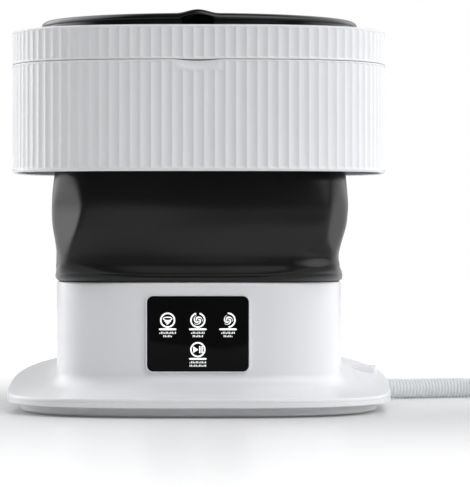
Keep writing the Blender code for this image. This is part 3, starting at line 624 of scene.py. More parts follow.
curve_shares = [math.sin(math.pi / 2 * step / 22) for step in range(23)]
outside = [band_ring(0.1562, 0.0), band_ring(0.1582, 0.0), band_ring(0.1588, 0.02), band_ring(0.1592, 0.08),
           band_ring(FOOT_HALF, 0.18), band_ring(FOOT_HALF, 0.50), band_ring(FOOT_HALF - 0.0004, 0.53),
           band_ring(FOOT_HALF - 0.0004, 0.58), band_ring(FOOT_HALF - 0.0001, 0.61),
           skirt_ring(FOOT_HALF - 0.0001, -0.0016), skirt_ring(FOOT_HALF - 0.0003, -0.0008),
           skirt_ring(FOOT_HALF - 0.0008, -0.0002)]
outside += [trumpet_ring(0.0, share) for share in curve_shares]
wall_top = [(BODY_HALF, 0.0900), (BODY_HALF, BODY_TOP - 0.0028), (BODY_HALF - 0.0003, BODY_TOP - 0.0015),
            (BODY_HALF - 0.0010, BODY_TOP - 0.0005), (BODY_HALF - 0.0022, BODY_TOP), (0.1125, BODY_TOP),
            (0.1125, BODY_TOP - 0.0026), (BODY_HALF - 0.0028, BODY_TOP - 0.0036)]
outside += [ring_points(half, height, BODY_POWER, housing_angles) for half, height in wall_top]
inside = [trumpet_ring(0.0026, share) for share in curve_shares[::-3]]
housing = add_piece("housing", loft(outside + inside + [band_ring(0.1562, 0.40)]), gloss_white, "base")

PANEL_WIDTH = 0.0811
PANEL_BOTTOM = 0.0358
PANEL_TOP = 0.0959
PANEL_CORNER = 0.0047
PANEL_FRONT = -0.1188
PANEL_GAP = 0.0003
INLET_X = -0.030
INLET_Z = 0.025
window = brick((-PANEL_WIDTH / 2 - PANEL_GAP, -0.1250, PANEL_BOTTOM - PANEL_GAP),
               (PANEL_WIDTH / 2 + PANEL_GAP, -0.1080, PANEL_TOP + PANEL_GAP), PANEL_CORNER + PANEL_GAP,
               "y", 8)
carve(housing, window, bar(0.0080, (INLET_X, 0.145, INLET_Z), (INLET_X, 0.165, INLET_Z)),
      bar(0.0118, (0.100, OUTLET_Y, OUTLET_Z), (0.150, OUTLET_Y, OUTLET_Z), 64))
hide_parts("base_housing")

# The fairing is a soft-edged block that grows out of the skirt above the outlet.
fairing = add_piece("outlet_fairing", brick((0.112, 0.0470, 0.0220), (0.1508, 0.0840, 0.0321), 0.0045, "z", 6,
                                            0.0007), gloss_white, "base")

# The panel sits in a raised bead with a rounded lip.
BEAD_WIDE = 0.0013


def frame_ring(grow, depth):
    """A rounded rectangle round the panel, grown by a margin, as one ring of points."""
    wide, tall = PANEL_WIDTH / 2 + grow, (PANEL_TOP - PANEL_BOTTOM) / 2 + grow
    corner = PANEL_CORNER + grow
    points = []
    for quarter, (side, up) in enumerate(((1, 1), (-1, 1), (-1, -1), (1, -1))):
        for step in range(13):
            angle = math.radians(90 * quarter + 7.5 * step)
            points.append((side * (wide - corner) + corner * math.cos(angle), depth,
                           (PANEL_TOP + PANEL_BOTTOM) / 2 + up * (tall - corner) + corner * math.sin(angle)))
    return np.array(points)


bead_section = [(PANEL_GAP, -0.1172), (PANEL_GAP, -0.1190), (PANEL_GAP + 0.0004, -0.1194),
                (BEAD_WIDE - 0.0003, -0.1194), (BEAD_WIDE, -0.1191), (BEAD_WIDE + 0.0003, -0.1160)]
bead = add_piece("panel_bead", loft([frame_ring(grow, depth) for grow, depth in bead_section]),
                 gloss_white, "base")


# --- Power inlet and wiring ---------------------------------------------------------------
# A round low-voltage inlet in the back of the skirt, moulded in black with a centre pin, and
# two soft leads inside the base.
inlet_profile = [(0.0, 0.0130), (0.0008, 0.0129), (0.0012, 0.0125), (0.0012, 0.0045), (0.0045, 0.0045),
                 (0.0045, 0.0158), (0.0049, 0.0165), (0.0071, 0.0165), (0.0075, 0.0161), (0.0075, 0.0140),
                 (0.0097, 0.0140), (0.0100, 0.0137), (0.0100, 0.0118), (0.0070, 0.0118), (0.0070, 0.0),
                 (0.0, 0.0)]
inlet_start = (INLET_X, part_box("power_inlet")[0].y, INLET_Z)
inlet_turn = Matrix.Rotation(math.radians(-90), 4, "X")
inlet = add_piece("inlet_socket", turned(inlet_profile, 64, inlet_turn, inlet_start),
                  dark_plastic, "base")
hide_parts("power_inlet")
lead_sheath = moulded("lead_sheath", (0.030, 0.030, 0.032), 0.55, grain=1800.0, skin=0.4)
for name in ("power_lead", "motor_lead"):
    finish_node(name, lead_sheath)


# --- Control panel ------------------------------------------------------------------------
# A black glass-like sheet with four touch keys. The rings, marks and bars are printed in
# white on its face and lit from behind.
polished_black = moulded("polished_black", (0.0045, 0.0045, 0.0048), 0.08, drift=0.05, spread=0.02,
                         grain=300.0, skin=0.05, bump=0.00001, Specular_IOR_Level=0.06)
panel = add_piece("touch_panel", brick((-PANEL_WIDTH / 2, PANEL_FRONT, PANEL_BOTTOM),
                                       (PANEL_WIDTH / 2, -0.1140, PANEL_TOP), PANEL_CORNER, "y", 10, 0.0002),
                  polished_black, "base")
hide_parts("control_panel")

print_white = moulded("print_white", (0.90, 0.90, 0.90), 0.40, drift=0.02, grain=2000.0)
print_white.node_tree.nodes["Principled BSDF"].inputs["Emission Color"].default_value = (1.0, 1.0, 1.0, 1.0)
print_white.node_tree.nodes["Principled BSDF"].inputs["Emission Strength"].default_value = 0.55

PRINT_FRONT = PANEL_FRONT - 0.00012
KEY_PITCH = 0.0242
KEY_ROW = 0.0768
START_ROW = 0.0532
KEY_RADIUS = 0.00550
STROKE = 0.00125


def stroke(bm, points, widths):
    """Adds a flat printed line of changing width through points (x, z) to a bmesh."""
    points = np.array(points)
    ahead = np.gradient(points, axis=0)
    ahead /= np.linalg.norm(ahead, axis=1)[:, None]
    across = np.stack([-ahead[:, 1], ahead[:, 0]], axis=1) * np.broadcast_to(widths, len(points))[:, None] / 2
    made = bmesh.ops.create_grid(bm, x_segments=len(points) - 1, y_segments=1, size=1.0)["verts"]
    for vert in made:
        index = round((vert.co.x + 1) / 2 * (len(points) - 1))
        spot = points[index] + across[index] * (1 if vert.co.y > 0 else -1)
        vert.co = (spot[0], PRINT_FRONT, spot[1])
    faces = list({face for vert in made for face in vert.link_faces})
    grown = bmesh.ops.extrude_face_region(bm, geom=faces)["geom"]
    bmesh.ops.translate(bm, verts=[v for v in grown if isinstance(v, bmesh.types.BMVert)],
                        vec=(0.0, PANEL_FRONT + 0.0001 - PRINT_FRONT, 0.0))


def arc(x, z, radius, start, end, tall=1.0, steps=48):
    """Points of an arc in degrees, anticlockwise from +X, perhaps flattened."""
    return [(x + radius * math.cos(a), z + tall * radius * math.sin(a))
            for a in np.radians(np.linspace(start, end, steps + 1))]


def bar_and_ticks(bm, x, z, counts):
    """The bar under a key and its two rows of tick marks."""
    half = 0.0063
    stroke(bm, [(x - half - 0.0007, z), (x - half, z), (x + half, z), (x + half + 0.0007, z)],
           np.array([0.0007, 0.0015, 0.0015, 0.0007]))
    for row, count in enumerate(counts):
        low = z - 0.0036 - 0.0027 * row
        for tick in range(count):
            across = x + 0.00125 * (tick - (count - 1) / 2)
            tall = 0.0016 if (tick + row) % 3 else 0.0010
            stroke(bm, [(across, low), (across, low + tall)], 0.00062)


def swirl(bm, x, z, size):
    """Three tapering curls round a middle, like water going down."""
    for arm in range(3):
        turns = np.linspace(0.0, 1.0, 30)
        bearing = math.radians(120 * arm + 200) - turns * math.radians(215)
        far = size * (0.16 + 0.84 * turns)
        line = np.stack([x + far * np.cos(bearing), z + far * np.sin(bearing)], axis=1)
        stroke(bm, line, size * (0.10 + 0.20 * np.sin(math.pi * np.minimum(turns * 1.15, 1.0))))


bm = bmesh.new()
stroke(bm, arc(-KEY_PITCH, KEY_ROW, KEY_RADIUS, 0, 360), STROKE)
for level, (wide, rise) in enumerate(((0.0034, 0.0011), (0.0025, -0.0004), (0.0015, -0.0017))):
    start, end = (0, 360) if level == 0 else (190, 350)
    stroke(bm, arc(-KEY_PITCH, KEY_ROW + rise, wide, start, end, 0.40), 0.0008)
stroke(bm, [(-KEY_PITCH + 0.0006, KEY_ROW - 0.0028), (-KEY_PITCH - 0.0008, KEY_ROW - 0.0036)], 0.0006)
stroke(bm, arc(0.0, KEY_ROW, KEY_RADIUS, 104, 436), STROKE)
swirl(bm, 0.0, KEY_ROW, 0.0039)
stroke(bm, arc(KEY_PITCH, KEY_ROW, KEY_RADIUS, -86, 92), STROKE)
swirl(bm, KEY_PITCH, KEY_ROW, 0.0039)
for column, counts in ((-1, (11, 6)), (0, (9, 7)), (1, (9, 6))):
    bar_and_ticks(bm, column * KEY_PITCH, KEY_ROW - 0.0073, counts)
stroke(bm, arc(0.0, START_ROW, KEY_RADIUS, 0, 360), STROKE)
stroke(bm, [(-0.0037, START_ROW), (0.0003, START_ROW)], np.array([0.0054, 0.0002]))
for across in (0.0016, 0.0034):
    stroke(bm, [(across, START_ROW - 0.0028), (across, START_ROW + 0.0028)], 0.0011)
bar_and_ticks(bm, 0.0, START_ROW - 0.0074, (11, 11))
bmesh.ops.remove_doubles(bm, verts=bm.verts, dist=1e-7)
bmesh.ops.recalc_face_normals(bm, faces=bm.faces)
marks = add_piece("key_marks", bm, print_white, "base")

board_green = moulded("board_green", (0.020, 0.130, 0.060), 0.35, drift=0.3, grain=700.0, skin=0.5)
finish_node("control_board", board_green)


# --- Drive --------------------------------------------------------------------------------
# Inside the base a flat belt of black rubber runs from the motor's small pulley to the large
# one under the tub; the pulleys are dark nylon, and the shaft's lip seal is rubber.
belt_rubber = moulded("belt_rubber", (0.018, 0.018, 0.019), 0.62, drift=0.2, grain=2600.0, skin=1.0)
dark_nylon = moulded("dark_nylon", (0.045, 0.046, 0.050), 0.46, grain=1500.0, skin=0.5)
finish_node("drive_belt", belt_rubber)
finish_node("shaft_seal", belt_rubber)
finish_node("motor_pulley", dark_nylon)
finish_node("driven_pulley", dark_nylon)


# --- Tub floor and drain ------------------------------------------------------------------
# The tub's floor is a satin white pan hung inside the housing, with coved corners. A black
# rubber plug on a small pull knob closes its drain, which runs down a moulded elbow.
DRAIN = (0.068, 0.062)
pan_levels = [(0.0900, 0.0590), (0.0950, 0.0596), (0.0980, 0.0612), (0.1000, 0.0642), (0.1015, 0.0685),
              (0.1034, 0.0985), (0.1039, 0.0998), (0.1050, 0.1008), (0.1115, 0.1010), (0.1118, 0.1013),
              (0.1118, 0.1037), (0.1115, 0.1040), (0.1046, 0.1040), (0.1034, 0.1036), (0.1024, 0.1026),
              (0.1013, 0.1000), (0.0991, 0.0695), (0.0985, 0.0670), (0.0972, 0.0648), (0.0950, 0.0631),
              (0.0920, 0.0622), (0.0890, 0.0620)]
pan = add_piece("tub_floor_pan", round_square(pan_levels, BODY_POWER, 288, closed=False), satin_white, "base")
carve(pan, bar(0.0144, (0.0, 0.0, 0.050), (0.0, 0.0, 0.070), 96),
      bar(0.0095, (*DRAIN, 0.050), (*DRAIN, 0.070), 64))
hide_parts("tub_pan")
finish_node("drain_elbow", satin_white)

soft_rubber = moulded("soft_rubber", (0.020, 0.020, 0.021), 0.50, drift=0.1, grain=1600.0, skin=0.6)
plug_profile = [(0.0, 0.0771), (0.0022, 0.0770), (0.0038, 0.0765), (0.0045, 0.0757), (0.0046, 0.0747),
                (0.0042, 0.0739), (0.0030, 0.0730), (0.0026, 0.0718), (0.0026, 0.0680), (0.0032, 0.0670),
                (0.0095, 0.0656), (0.0107, 0.0651), (0.0112, 0.0643), (0.0112, 0.0625), (0.0110, 0.0623),
                (0.0090, 0.0623), (0.0087, 0.0616), (0.0085, 0.0600), (0.0087, 0.0590), (0.0080, 0.0573),
                (0.0, 0.0572)]
plug = add_piece("rubber_plug", turned(plug_profile, 64, at=(*DRAIN, 0.0)), soft_rubber, "plug")
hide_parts("drain_plug")


# --- Washing disc -------------------------------------------------------------------------
# A shallow white dish with four rounded vanes and a raised hub, moulded in one piece and
# held on its shaft by a steel screw with a cross recess.
DISC_COLUMNS = 288
VANE_MIDDLE = 0.0420

disc_profile = [(0.0053, 0.0665), (0.0053, 0.0709), (0.0028, 0.0709), (0.0028, 0.0770), (0.0047, 0.0770),
                (0.0047, 0.0790), (0.0140, 0.0790), (0.0150, 0.0786), (0.0158, 0.0776), (0.0172, 0.0750),
                (0.0184, 0.0734), (0.0198, 0.0727)]
disc_profile += [(0.0198 + 0.0014 * step, 0.0727 - 0.000105 * step + 0.0000021 * step ** 2)
                 for step in range(1, 38)]
disc_profile += [(0.0733, 0.0717), (0.0746, 0.0712), (0.0751, 0.0702), (0.0750, 0.0688), (0.0745, 0.0668),
                 (0.0740, 0.0665)]
disc_angles = 2 * math.pi * np.arange(DISC_COLUMNS) / DISC_COLUMNS
disc_rings = []
for number, (radius, height) in enumerate(disc_profile):
    rise = np.zeros(DISC_COLUMNS)
    if 6 < number < len(disc_profile) - 4:
        for vane in range(4):
            turned_by = disc_angles - math.radians(45 + 90 * vane)
            out = (radius * np.cos(turned_by) - VANE_MIDDLE) / 0.0285
            across = radius * np.sin(turned_by) / 0.0098
            rise += 0.0074 * np.clip(1 - out ** 2 - across ** 2, 0, 1) ** 0.8
    disc_rings.append(np.stack([radius * np.cos(disc_angles), radius * np.sin(disc_angles), height + rise],
                               axis=1))
disc = add_piece("washing_disc", loft(disc_rings), satin_white, "wash_disc")
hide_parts("pulsator")

bolt_profile = [(0.0, 0.0800), (0.0026, 0.0800), (0.0036, 0.0797), (0.0042, 0.0790), (0.0042, 0.0774),
                (0.0024, 0.0774), (0.0024, 0.0709), (0.0, 0.0709)]
bolt = add_piece("disc_screw", turned(bolt_profile, 48), bright_steel, "wash_disc")
carve(bolt, brick((-0.0024, -0.0004, 0.0788), (0.0024, 0.0004, 0.0810)),
      brick((-0.0004, -0.0024, 0.0787), (0.0004, 0.0024, 0.0811)))
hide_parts("pulsator_screw")


# --- Bellows ------------------------------------------------------------------------------
# The tub's wall is one sleeve of soft black elastomer, slightly slack, with flattened corners,
# shallow dents and creases. Its rolled foot sits on the housing; its top is clamped under the deck.
BELLOWS_TOP = 0.2715
BELLOWS_WALL = 0.0024
BELLOWS_COLUMNS = 640

# Half widths and how square the outline is, by height, in millimetres.
LEFT_HALF = [(107.4, 117.2), (110, 118.8), (113, 118.2), (117.5, 116.4), (122, 115.6), (129.5, 115.9),
             (141, 117.4), (152, 119.4), (164, 120.3), (178, 120.0), (194, 118.0), (225, 117.5), (271.5, 116.0)]
RIGHT_HALF = [(107.4, 117.4), (109, 118.9), (113, 118.6), (115.5, 117.6), (120, 115.2), (128, 114.0),
              (138, 116.6), (153, 121.7), (168, 123.0), (196, 121.0), (225, 119.0), (271.5, 116.0)]
FRONT_HALF = [(107.4, 117.0), (110, 118.8), (113, 118.4), (116, 117.4), (121, 115.5), (130, 115.8),
              (150, 119.0), (170, 121.0), (199, 118.5), (271.5, 116.0)]
LEFT_POWER = [(107, 3.6), (114, 5.0), (121, 8.5), (150, 9.5), (182, 9.0), (200, 6.0), (225, 3.6),
              (271.5, 3.6)]
RIGHT_POWER = [(107, 3.6), (114, 5.0), (121, 8.5), (150, 9.5), (190, 9.0), (204, 6.0), (225, 3.6),
               (271.5, 3.6)]

# Slack flattens each corner: distance in mm of the flat from the middle by height, on either
# side, and how sharp the ridge beside the flat is by height.
LEFT_FLAT = [(107, 170), (112, 158), (118, 151), (130, 148.5), (140, 147.5), (150, 146), (166, 144),
             (187, 146), (196, 148), (225, 153), (271.5, 165)]
RIGHT_FLAT = [(107, 170), (112, 158), (118, 149), (124, 145.5), (140, 146), (160, 150), (181, 152),
              (196, 153), (225, 156), (271.5, 170)]
RIDGE_SHARP = [(107, 1.1), (160, 1.1), (180, 0.4), (196, 0.25), (271.5, 0.25)]

# Soft dents: bearing from the front in degrees, height, spread in degrees and mm, depth in mm.
DENTS = [(-25, 148, 18, 22, 1.5), (12, 150, 16, 30, -1.0), (40, 166, 10, 16, 0.8), (-52, 172, 9, 14, 0.9),
         (-64, 140, 8, 10, 1.2), (95, 150, 14, 22, 1.2), (130, 160, 12, 18, -1.0), (165, 145, 16, 22, 1.3),
         (-100, 158, 14, 20, 1.1), (-140, 150, 14, 24, -0.9), (42, 128, 4.2, 8, 2.6), (63, 132, 6, 12, 0.8)]
# Creases: points as (bearing from the front, height), height of the ridge and its half width in mm.
CREASES = [([(-80, 152), (-68, 142), (-60, 130), (-58, 120)], 0.7, 2.2),
           ([(34, 121), (42, 118), (54, 121)], 0.5, 3.0),
           ([(100, 140), (112, 131), (104, 120)], 0.7, 3.0),
           ([(-128, 146), (-116, 133), (-124, 121)], 0.7, 3.0),
           ([(170, 150), (158, 134), (164, 121)], 0.6, 3.0)]


def by_height(table, heights):
    """A table's value at each height, eased over the corners of its line."""
    levels, values = np.array(table, float).T
    reach_out = np.interp(heights, (118.0, 134.0), (0.7, 4.0))
    return sum(np.interp(heights + reach_out * step, levels, values) for step in (-1, -0.5, 0, 0.5, 1)) / 5


def near_line(points, bearings, heights):
    """Distance in mm from each spot on the sleeve to a line drawn on it."""
    least = np.full(np.broadcast(bearings, heights).shape, 1e9)
    for (a0, z0), (a1, z1) in zip(points, points[1:]):
        run, climb = (a1 - a0) * 2.1, z1 - z0
        u, v = (bearings - a0) * 2.1, heights - z0
        share = np.clip((u * run + v * climb) / (run * run + climb * climb), 0, 1)
        least = np.minimum(least, np.hypot(u - share * run, v - share * climb))
    return least


def sleeve(heights, inset):
    """Rings of the sleeve at the given heights, moved inwards by an inset."""
    z = 1000 * np.array(heights)[:, None]
    angles = bellows_angles[None, :]
    bearings = (np.degrees(angles) + 270) % 360 - 180
    bearings = np.where(bearings < -180, bearings + 360, bearings)
    across, deep = np.cos(angles), np.sin(angles)
    half = (np.where(across < 0, by_height(LEFT_HALF, z), by_height(RIGHT_HALF, z)) * across ** 2
            + by_height(FRONT_HALF, z) * deep ** 2)
    power = by_height(LEFT_POWER, z) * (1 - across) / 2 + by_height(RIGHT_POWER, z) * (1 + across) / 2
    for bearing, height, wide, tall, depth in DENTS:
        turn = (bearings - bearing + 180) % 360 - 180
        half = half - depth * np.exp(-(turn / wide) ** 2 - ((z - height) / tall) ** 2)
    for points, rise, wide in CREASES:
        half = half + rise * np.exp(-(near_line(points, bearings, z) / wide) ** 2)
    for groove in (113.5, 109.9):
        half = half - 0.25 * np.exp(-((z - groove) / 0.45) ** 2)
    far = half / (np.abs(across) ** power + np.abs(deep) ** power) ** (1 / power)
    for side, flats, lean in ((-1, LEFT_FLAT, 55), (1, RIGHT_FLAT, 60)):
        facing = side * across * math.sin(math.radians(lean)) + np.abs(deep) * math.cos(math.radians(lean))
        flat = by_height(flats, z) / np.maximum(facing, 0.4)
        sharp = by_height(RIDGE_SHARP, z)
        far = -np.logaddexp(-sharp * far, -sharp * flat) / sharp
    far = far / 1000 - inset
    return list(np.stack([far * across, far * deep, np.broadcast_to(z / 1000, far.shape)], axis=2))


def even_angles(half, power, count, start=0.0):
    """Angles of points evenly spaced along an outline, from a distance past the front middle."""
    fine = np.linspace(-math.pi / 2, 1.5 * math.pi, 20001)
    far = reach(half, power, fine)
    steps = np.hypot(np.diff(far * np.cos(fine)), np.diff(far * np.sin(fine)))
    along = np.concatenate([[0.0], np.cumsum(steps)])
    return np.interp((np.arange(count) / count * along[-1] + start) % along[-1], along, fine)


bellows_angles = even_angles(BODY_HALF, BODY_POWER, BELLOWS_COLUMNS)
outer_heights = [*np.arange(0.1078, 0.1160, 0.0004), *np.arange(0.1160, 0.2020, 0.0012),
                 *np.arange(0.2020, 0.2700, 0.0060), BELLOWS_TOP]
inner_heights = [BELLOWS_TOP, 0.2600, 0.2300, 0.2020, *np.arange(0.1950, 0.1330, -0.0050), 0.1330]
foot = [ring_points(half, height, BODY_POWER, bellows_angles)
        for half, height in ((0.1125, 0.1074), (0.1166, 0.1074), (0.1171, 0.1075))]
bellows_black = moulded("bellows_black", (0.0060, 0.0060, 0.0063), 0.31, drift=0.10, spread=0.08, grain=700.0,
                        skin=0.5, bump=0.00004, Specular_IOR_Level=0.34)
bellows_rings = foot + sleeve(outer_heights, 0.0) + sleeve(inner_heights, BELLOWS_WALL)
bellows = add_piece("bellows_sleeve", loft(bellows_rings), bellows_black, "base", 50.0)
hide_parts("bellows")
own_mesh(bellows)

# Two hard white rings hold the sleeve's ends, the lower one inside it and the upper one outside.
lower_levels = [(0.1119, 0.1043), (0.1121, 0.1046), (0.1121, 0.1091), (0.1118, 0.1094), (0.1094, 0.1094),
                (0.1072, 0.1081), (0.1072, 0.1046), (0.1075, 0.1043)]
lower_ring = add_piece("lower_clamp", round_square(lower_levels, BODY_POWER), satin_white, "base")
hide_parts("lower_clamp_ring")
upper_levels = [(0.1193, 0.2625), (0.1195, 0.2628), (0.1195, 0.2702), (0.1192, 0.2705), (0.1168, 0.2705),
                (0.1169, 0.2625)]
upper_ring = add_piece("upper_clamp", round_square(upper_levels, BODY_POWER), satin_white, "tub_top")
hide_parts("upper_clamp_ring")


# --- Rim, deck and seal -------------------------------------------------------------------
# The rim is a tall glossy white ring moulded with shallow upright flutes all round, with a
# finger scoop at the front of its upper edge. The deck and a black seal sit inside it.
RING_HALF = 0.155
RING_POWER = 3.0
SEAM = 0.2843
FLUTES = 124
FLUTE_POINTS = 12
FLUTE_DEPTH = 0.00078
HINGE_Y = 0.1563
HINGE_Z = 0.2845

ring_angles = even_angles(RING_HALF, RING_POWER, FLUTES * FLUTE_POINTS, -0.0029)
flute_dip = 1 - (2 * (np.arange(FLUTES * FLUTE_POINTS) % FLUTE_POINTS) / FLUTE_POINTS - 1) ** 2


def scoop_share(x, z):
    """How deep a spot on the rim lies in the finger scoop, from 0 to 1."""
    inside = np.clip(1 - (x / 0.0205) ** 2 - ((z - SEAM - 0.0008) / 0.0098) ** 2, 0, 1)
    return inside ** 2 * (3 - 2 * inside)


def fluted(levels, hinge_from, hinge_to, dip):
    """Rings through (half width, height, flute share, own power), cleared round the hinge.

    The edge along the seam dips a little at the front middle.
    """
    rings = []
    for half, height, share, *own in levels:
        far = reach(half, own[0] if own else RING_POWER, ring_angles)
        x, y = far * np.cos(ring_angles), far * np.sin(ring_angles)
        calm = np.where(y < 0, np.clip((np.abs(x) - 0.0165) / 0.0060, 0, 1), 1.0)
        if height < SEAM:
            calm = np.maximum(calm, np.clip((SEAM - 0.0075 - height) / 0.0030, 0, 1))
        else:
            calm = np.maximum(calm, np.clip((height - SEAM - 0.0010) / 0.0010, 0, 1))
        far = far - share * FLUTE_DEPTH * flute_dip * calm
        x, y = far * np.cos(ring_angles), far * np.sin(ring_angles)
        if half > 0.150 and height < SEAM + 0.0001:
            y = np.where(y < 0, y + 0.0016 * scoop_share(x, height), y)
        above = abs(height - HINGE_Z)
        if above < 0.0034:
            cleared = (np.abs(x) > hinge_from) & (np.abs(x) < hinge_to) & (y > 0)
            y = np.where(cleared, np.minimum(y, HINGE_Y - math.sqrt(0.0034 ** 2 - above ** 2)), y)
        near_seam = max(0.0, 1 - abs(height - SEAM) / 0.0022)
        z = height - np.where(y < 0, dip * near_seam * np.clip(1 - (x / 0.0190) ** 2, 0, 1) ** 1.5, 0.0)
        rings.append(np.stack([x, y, z], axis=1))
    return rings


rim_levels = [(0.1520, 0.1968, 0), (0.1523, 0.1962, 0), (0.1530, 0.1959, 0), (0.1538, 0.1959, 0),
              (0.1545, 0.1963, 0), (0.1549, 0.1970, 0), (RING_HALF, 0.1979, 0), (RING_HALF, 0.1986, 0.3),
              (RING_HALF, 0.1994, 0.8), (RING_HALF, 0.2002, 1)]
rim_levels += [(RING_HALF, height, 1) for height in (0.2400, *np.arange(0.2730, 0.2822, 0.0007))]
rim_levels += [(RING_HALF, 0.2826, 0.8), (RING_HALF, 0.2832, 0.3), (RING_HALF, 0.2836, 0.1), (0.1549, 0.2839, 0),
               (0.1547, 0.2842, 0), (0.1542, SEAM, 0), (0.1455, SEAM, 0), (0.1455, 0.2811, 0),
               (0.1520, 0.2811, 0)]
ring_white = moulded("ring_white", (0.835, 0.838, 0.855), 0.27, drift=0.004, spread=0.02, grain=420.0,
                     skin=0.15, bump=0.00002)
rim = add_piece("fluted_rim", loft(fluted(rim_levels, -1.0, 0.0152, 0.0010)), ring_white, "tub_top", 12.0)
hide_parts("rim_ring")

deck_levels = [(0.1512, 0.2778, 3.0), (0.1515, 0.2781, 3.0), (0.1515, 0.2805, 3.0), (0.1512, 0.2808, 3.0),
               (0.1120, 0.2808), (0.1108, 0.2804), (0.1100, 0.2794), (0.1100, 0.2604), (0.1104, 0.2600),
               (0.1127, 0.2600), (0.1131, 0.2604), (0.1131, 0.2765), (0.1138, 0.2778)]
deck = add_piece("deck", round_square(deck_levels, BODY_POWER), satin_white, "tub_top")
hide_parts("tub_deck")

seal_levels = [(0.1185, 0.2811), (0.1180, 0.2835), (0.1168, 0.2841), (0.1166, 0.2850), (0.1174, 0.2858),
               (0.1172, 0.2864), (0.1166, 0.2866), (0.1148, 0.2866), (0.1141, 0.2862), (0.1136, 0.2840),
               (0.1130, 0.2811)]
seal = add_piece("deck_seal", round_square(seal_levels, BODY_POWER), soft_rubber, "tub_top")
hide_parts("ring_seal")


# Hinge knuckles are short barrels with softened ends, on a web that joins them to their ring.
def knuckle(name, start, end, radius, bore, y, z, web, finish, body):
    soft = 0.0004
    profile = [(bore, start), (radius - soft, start), (radius, start + soft), (radius, end - soft),
               (radius - soft, end), (bore, end)]
    along_x = Matrix.Rotation(math.radians(90), 4, "Y")
    bm = turned(profile, 48, along_x, (0.0, y, z))
    made = add_piece(name, bm, finish, body)
    if web:
        add_piece(f"{name}_web", brick((start, *web[0]), (end, *web[1]), soften=0.0003), finish, body)
    return made


for side, (start, end) in (("left", (-0.0300, -0.0155)), ("right", (0.0155, 0.0300))):
    knuckle(f"rim_knuckle_{side}", start, end, 0.0030, 0.0013, HINGE_Y, HINGE_Z,
            ((0.1525, 0.2800), (0.1575, 0.2830)), ring_white, "tub_top")


# --- Lid ring -----------------------------------------------------------------------------
# A second fluted ring carries the round lid. It folds back on the rim's hinge, has a flat top
# running in to a round throat, and is closed from below by a satin white liner.
RING_TOP = 0.3120
THROAT = 0.1150
top_levels = [(0.1520, 0.2846, 0), (0.1540, 0.2846, 0), (0.1546, 0.2848, 0), (0.1549, 0.2851, 0),
              (RING_HALF, 0.2855, 0.1), (RING_HALF, 0.2861, 0.5), (RING_HALF, 0.2868, 1), (RING_HALF, 0.2960, 1),
              (RING_HALF, 0.3088, 1), (RING_HALF, 0.3096, 0.7), (RING_HALF, 0.3102, 0.25), (0.1549, 0.3107, 0),
              (0.1546, 0.3112, 0), (0.1541, 0.3116, 0), (0.1534, 0.3119, 0), (0.1520, RING_TOP, 0),
              (0.1440, RING_TOP, 0, 2.7), (0.1345, 0.3118, 0, 2.3), (0.1290, 0.3117, 0, 2.1),
              (0.1158, 0.3117, 0, 2.0), (0.1152, 0.3115, 0, 2.0), (THROAT, 0.3110, 0, 2.0),
              (THROAT, 0.3003, 0, 2.0), (0.1153, 0.3000, 0, 2.0), (0.1175, 0.3000, 0, 2.0),
              (0.1175, 0.3087, 0, 2.0), (0.1480, 0.3087, 0), (0.1510, 0.3078, 0), (0.1520, 0.3060, 0)]
lid_ring = add_piece("fluted_lid_ring", loft(fluted(top_levels, 0.0151, 0.0304, 0.0005)), ring_white,
                     "lid_frame", 12.0)
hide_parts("lid_ring")
knuckle("lid_ring_knuckle", -0.0149, 0.0149, 0.0030, 0.0013, HINGE_Y, HINGE_Z,
        ((0.1525, 0.2862), (0.1575, 0.2890)), ring_white, "lid_frame")

liner_levels = [(0.1512, 0.2870, 3.0), (0.1515, 0.2873, 3.0), (0.1515, 0.2887, 3.0), (0.1512, 0.2890, 3.0),
                (0.1215, 0.2890), (0.1204, 0.2894), (0.1200, 0.2904), (0.1200, 0.2982), (0.1197, 0.2985),
                (0.1158, 0.2985), (0.1155, 0.2982), (0.1155, 0.2880), (0.1158, 0.2873), (0.1165, 0.2870)]
liner = add_piece("ring_liner", round_square(liner_levels, 2.0), satin_white, "lid_frame")
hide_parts("lid_liner")

LID_HINGE_Y = 0.1385
LID_HINGE_Z = 0.3150
for side, low in (("left", -0.0165), ("right", 0.0125)):
    ear = add_piece(f"lid_ear_{side}", brick((low, LID_HINGE_Y - 0.0024, 0.3092),
                                             (low + 0.0040, LID_HINGE_Y + 0.0024, LID_HINGE_Z + 0.0024), 0.00235,
                                             "x", 10, 0.0002), ring_white, "lid_frame")
    carve(ear, bar(0.0011, (-0.018, LID_HINGE_Y, LID_HINGE_Z), (0.018, LID_HINGE_Y, LID_HINGE_Z), 32))


# --- Round lid ----------------------------------------------------------------------------
# A low domed disc in gloss black that drops into the throat. Its edge arches up at the front
# over a finger recess; underneath it carries a plug ring with a soft black gasket.
LID_RADIUS = 0.132
LID_COLUMNS = 600
PULL_HALF = 0.0185
PULL_LOW = 0.0138

even_turn = 2 * math.pi * np.arange(LID_COLUMNS) / LID_COLUMNS
lid_angles = even_turn - 0.85 * np.sin(even_turn) - math.pi / 2

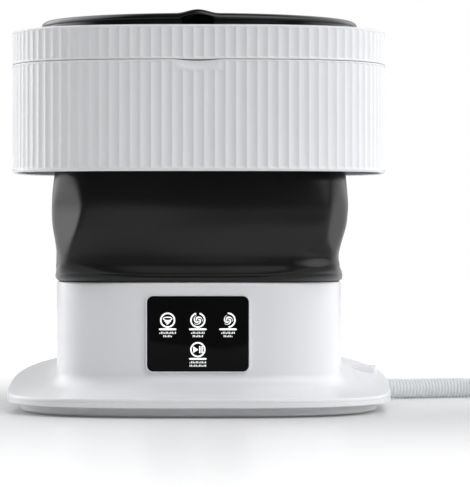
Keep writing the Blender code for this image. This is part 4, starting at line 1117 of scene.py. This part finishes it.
# Each level: radius, height, share of the pull's rise, and how far the recess pushes it in.
lid_levels = [(0.0, 0.3236, 0, 0), (0.0400, 0.3236, 0, 0), (0.0800, 0.3235, 0, 0), (0.1000, 0.3234, 0, 0),
              (0.1100, 0.3233, 0.04, 0), (0.1150, 0.3232, 0.18, 0), (0.1190, 0.3231, 0.42, 0),
              (0.1220, 0.3230, 0.66, 0), (0.1245, 0.3229, 0.85, 0), (0.1265, 0.3227, 0.96, 0),
              (0.1282, 0.3224, 1, 0), (0.1296, 0.3219, 1, 0), (0.1308, 0.3211, 1, 0), (0.1316, 0.3202, 1, 0),
              (0.1320, 0.3192, 1, 0), (0.1320, 0.3186, 1.05, 0), (0.1318, 0.3182, 1.15, 0),
              (0.1312, 0.3179, 1.2, 0), (0.1305, 0.3179, 1.2, 0.3), (0.1302, 0.3181, 1.2, 1.0),
              (0.1302, 0.3165, 0.6, 1.3), (0.1302, 0.3150, 0.1, 1.1), (0.1302, 0.3137, 0, 0.5),
              (0.1298, 0.3126, 0, 0.1), (0.1290, 0.3121, 0, 0), (0.1092, 0.3121, 0, 0), (0.1090, 0.3118, 0, 0),
              (0.1090, 0.3043, 0, 0), (0.1087, 0.3040, 0, 0), (0.1063, 0.3040, 0, 0), (0.1060, 0.3043, 0, 0),
              (0.1060, 0.3190, 0, 0), (0.1050, 0.3200, 0, 0), (0.0, 0.3200, 0, 0)]
lid_rings = []
for radius, height, rise, push in lid_levels:
    x = LID_RADIUS * np.cos(lid_angles)
    front = np.sin(lid_angles) < 0
    arch = np.where(front, 0.5 + 0.5 * np.cos(math.pi * np.clip(np.abs(x) / PULL_HALF, 0, 1)), 0.0)
    arch_low = np.where(front, np.clip(1 - (x / PULL_LOW) ** 2, 0, 1) ** 0.6, 0.0)
    cut_in = np.where(front, np.clip(1 - (x / (PULL_LOW - 0.0008)) ** 2, 0, 1) ** 0.4, 0.0)
    far = radius - 0.0085 * push * cut_in
    up = height + (0.0031 * arch * rise if rise <= 1 else 0.0033 * arch_low)
    lid_rings.append(np.stack([far * np.cos(lid_angles), far * np.sin(lid_angles), up], axis=1))
lid_black = moulded("lid_black", (0.0050, 0.0050, 0.0054), 0.14, drift=0.05, spread=0.03, grain=500.0,
                    skin=0.15, bump=0.00002, Specular_IOR_Level=0.45)
lid = add_piece("round_black_lid", loft(lid_rings, closed=False), lid_black, "round_lid")
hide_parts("lid")

tab = add_piece("lid_hinge_tab", brick((-0.0120, 0.1275, LID_HINGE_Z - 0.0024),
                                       (0.0120, LID_HINGE_Y + 0.0024, LID_HINGE_Z + 0.0024), 0.00235, "x", 10,
                                       0.0002), lid_black, "round_lid")
carve(tab, bar(0.0011, (-0.018, LID_HINGE_Y, LID_HINGE_Z), (0.018, LID_HINGE_Y, LID_HINGE_Z), 32))

gasket_profile = [(0.1093, 0.3085), (0.1125, 0.3085), (0.1143, 0.3083), (0.1146, 0.3077), (0.1139, 0.3072),
                  (0.1137, 0.3067), (0.1143, 0.3062), (0.1144, 0.3055), (0.1138, 0.3050), (0.1093, 0.3050)]
gasket = add_piece("lid_seal", turned(gasket_profile, 192), soft_rubber, "round_lid")
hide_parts("lid_gasket")
